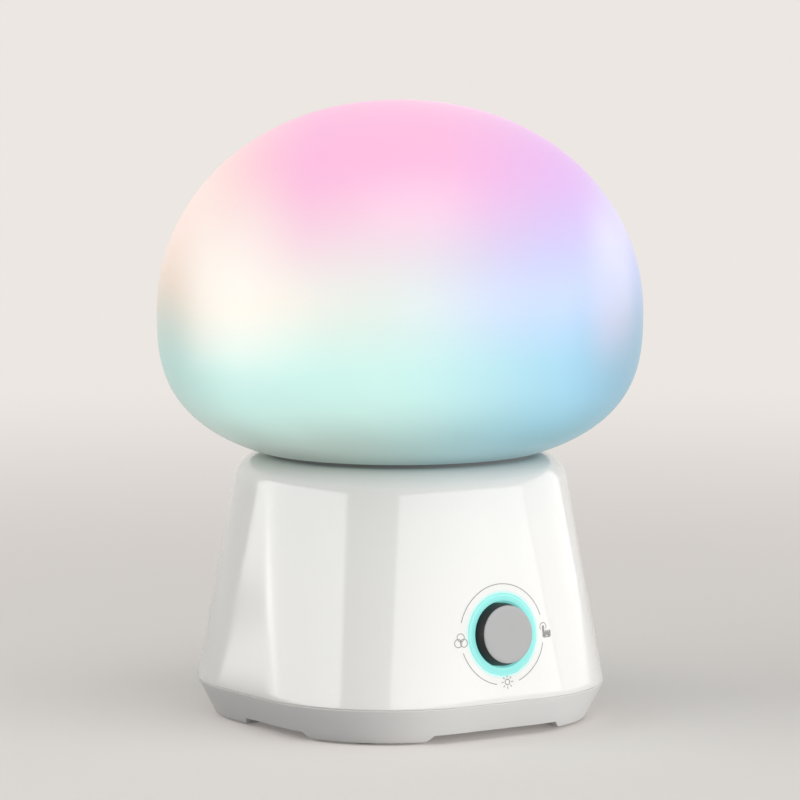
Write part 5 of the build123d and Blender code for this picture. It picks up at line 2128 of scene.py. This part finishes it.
@dataclass(frozen=True)
class FloorPaper:
    """Pale paper that fades into the background's colour away from the night light.

    On the left it gives back less light, and what gloss mirrors of it there brightens far away,
    so that the mirrored lamp's reflection runs on below its edge. A pair is where a change starts
    and where it is complete. Those named toward are cosines of the angle to that lamp, and the
    others are distances from the middle in millimetres.
    """

    name: str = "floor_paper"
    tint: Tint = screen(236, 231, 226)
    sky: Tint = screen(236, 231, 226)
    camera_turn: float = 33.93
    fade: Flat = (60.0, 800.0)
    glow: float = 0.2
    mirror_away: Flat = (250.0, 400.0)
    mirror_toward: Flat = (0.815, 0.831)
    mirror_glow: float = 2.4
    dull_toward: Flat = (0.0, 0.6)
    dull: float = 0.55
    fibre_size: float = 0.8

    def make(self) -> bpy.types.Material:
        """Build the finish."""
        paint = Paint(self.name)
        place = paint.place()
        x, y, _ = paint.axes(place)
        away = (x * x + y * y).root()
        angle = math.radians(MIRROR_TURN - self.camera_turn)
        toward = (x * math.sin(angle) - y * math.cos(angle)) / away
        fibre = paint.noise(place, self.fibre_size, 3.0)
        path = paint.add("ShaderNodeLightPath")
        glossy = path.output("Is Glossy Ray")
        dulled = path.output("Is Diffuse Ray") * toward.ease(*self.dull_toward) * self.dull
        paper = paint.add("ShaderNodeBsdfDiffuse", inputs={
            "Color": paint.shade(self.tint, (0.99 + fibre * 0.02) * (1 - dulled))})
        mirrored = glossy * away.ease(*self.mirror_away) * toward.ease(*self.mirror_toward)
        sky = paint.add("ShaderNodeEmission", inputs={
            "Color": paint.shade(self.sky, 1 + mirrored * self.mirror_glow)})
        seen = path + glossy + path.output("Is Transmission Ray")
        fade = seen * (self.glow + (1 - self.glow) * away.ease(*self.fade)) + mirrored
        return paint.end(paint.add("ShaderNodeMixShader", inputs={0: fade, 1: paper, 2: sky}))


@dataclass
class Studio:
    """Plain floor, soft lights and the camera at the photograph's angle."""

    turn: float = 33.93
    distance: float = 1313.5
    height: float = 227.0
    pitch: float = 6.43
    focal_share: float = 6.63325
    sensor: float = 36.0
    floor_side: float = 40.0
    floor_drop: float = 0.05
    sky: Tint = screen(236, 231, 226)
    sky_light: float = 0.28

    def camera(self) -> None:
        """Make the camera."""
        data = bpy.data.cameras.new("camera")
        data.sensor_width = self.sensor
        data.lens = self.focal_share * self.sensor
        camera = link("camera", data)
        turn, pitch = math.radians(self.turn), math.radians(self.pitch)
        camera.location = Vector((-math.sin(turn) * self.distance, -math.cos(turn) * self.distance,
                                  self.height)) * MM
        ahead = Vector((math.sin(turn) * math.cos(pitch), math.cos(turn) * math.cos(pitch),
                        -math.sin(pitch)))
        camera.rotation_mode = "QUATERNION"
        camera.rotation_quaternion = ahead.to_track_quat("-Z", "Y")
        bpy.context.scene.camera = camera

    def floor(self) -> None:
        """Make the pale floor."""
        half, level = self.floor_side / 2 * PER_METRE, -self.floor_drop
        mesh = solid([(-half, -half, level), (half, -half, level), (half, half, level),
                      (-half, half, level)], [(0, 1, 2, 3)])
        mesh.materials.append(FloorPaper(camera_turn=self.turn).make())
        link("floor", mesh)

    def world(self) -> None:
        """Make the surrounding light, with a pale background for what is seen or mirrored."""
        world = bpy.data.worlds.new("studio")
        world.use_nodes = True
        world.node_tree.nodes.clear()
        bench = Bench(world.node_tree)
        path = bench.add("ShaderNodeLightPath")
        seen = path + path.output("Is Glossy Ray") + path.output("Is Transmission Ray")
        light, shown = (
            bench.add("ShaderNodeBackground", inputs={"Color": (*tint, 1.0), "Strength": strength})
            for tint, strength in (((1.0, 1.0, 1.0), self.sky_light), (self.sky, 1.0)))
        mixed = bench.add("ShaderNodeMixShader", inputs={0: seen, 1: light, 2: shown})
        bench.node("ShaderNodeOutputWorld", inputs={"Surface": mixed})
        bpy.context.scene.world = world

    def build(self) -> None:
        """Make the whole stage."""
        self.camera()
        self.floor()
        self.world()
        for lamp in LAMPS:
            lamp.build(self.turn)
        bpy.context.scene.view_settings.view_transform = "Standard"


def main() -> None:
    """Dress the frame."""
    logging.basicConfig(level=logging.INFO, format="%(name)s: %(message)s")
    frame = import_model()
    palette = Palette()
    palette.dress_frame(frame)
    make = Builder(palette, TurnedShape(), RingShape(), RowShape())
    for part in (FrostedDome(), WhiteHousing(), GreyPlinth(), PressKnob(), DialMarks(),
                 InletContacts()):
        LOG.info("building %s", type(part).__name__)
        part.build(make)
    Studio().build()


if __name__ == "__main__":
    main()
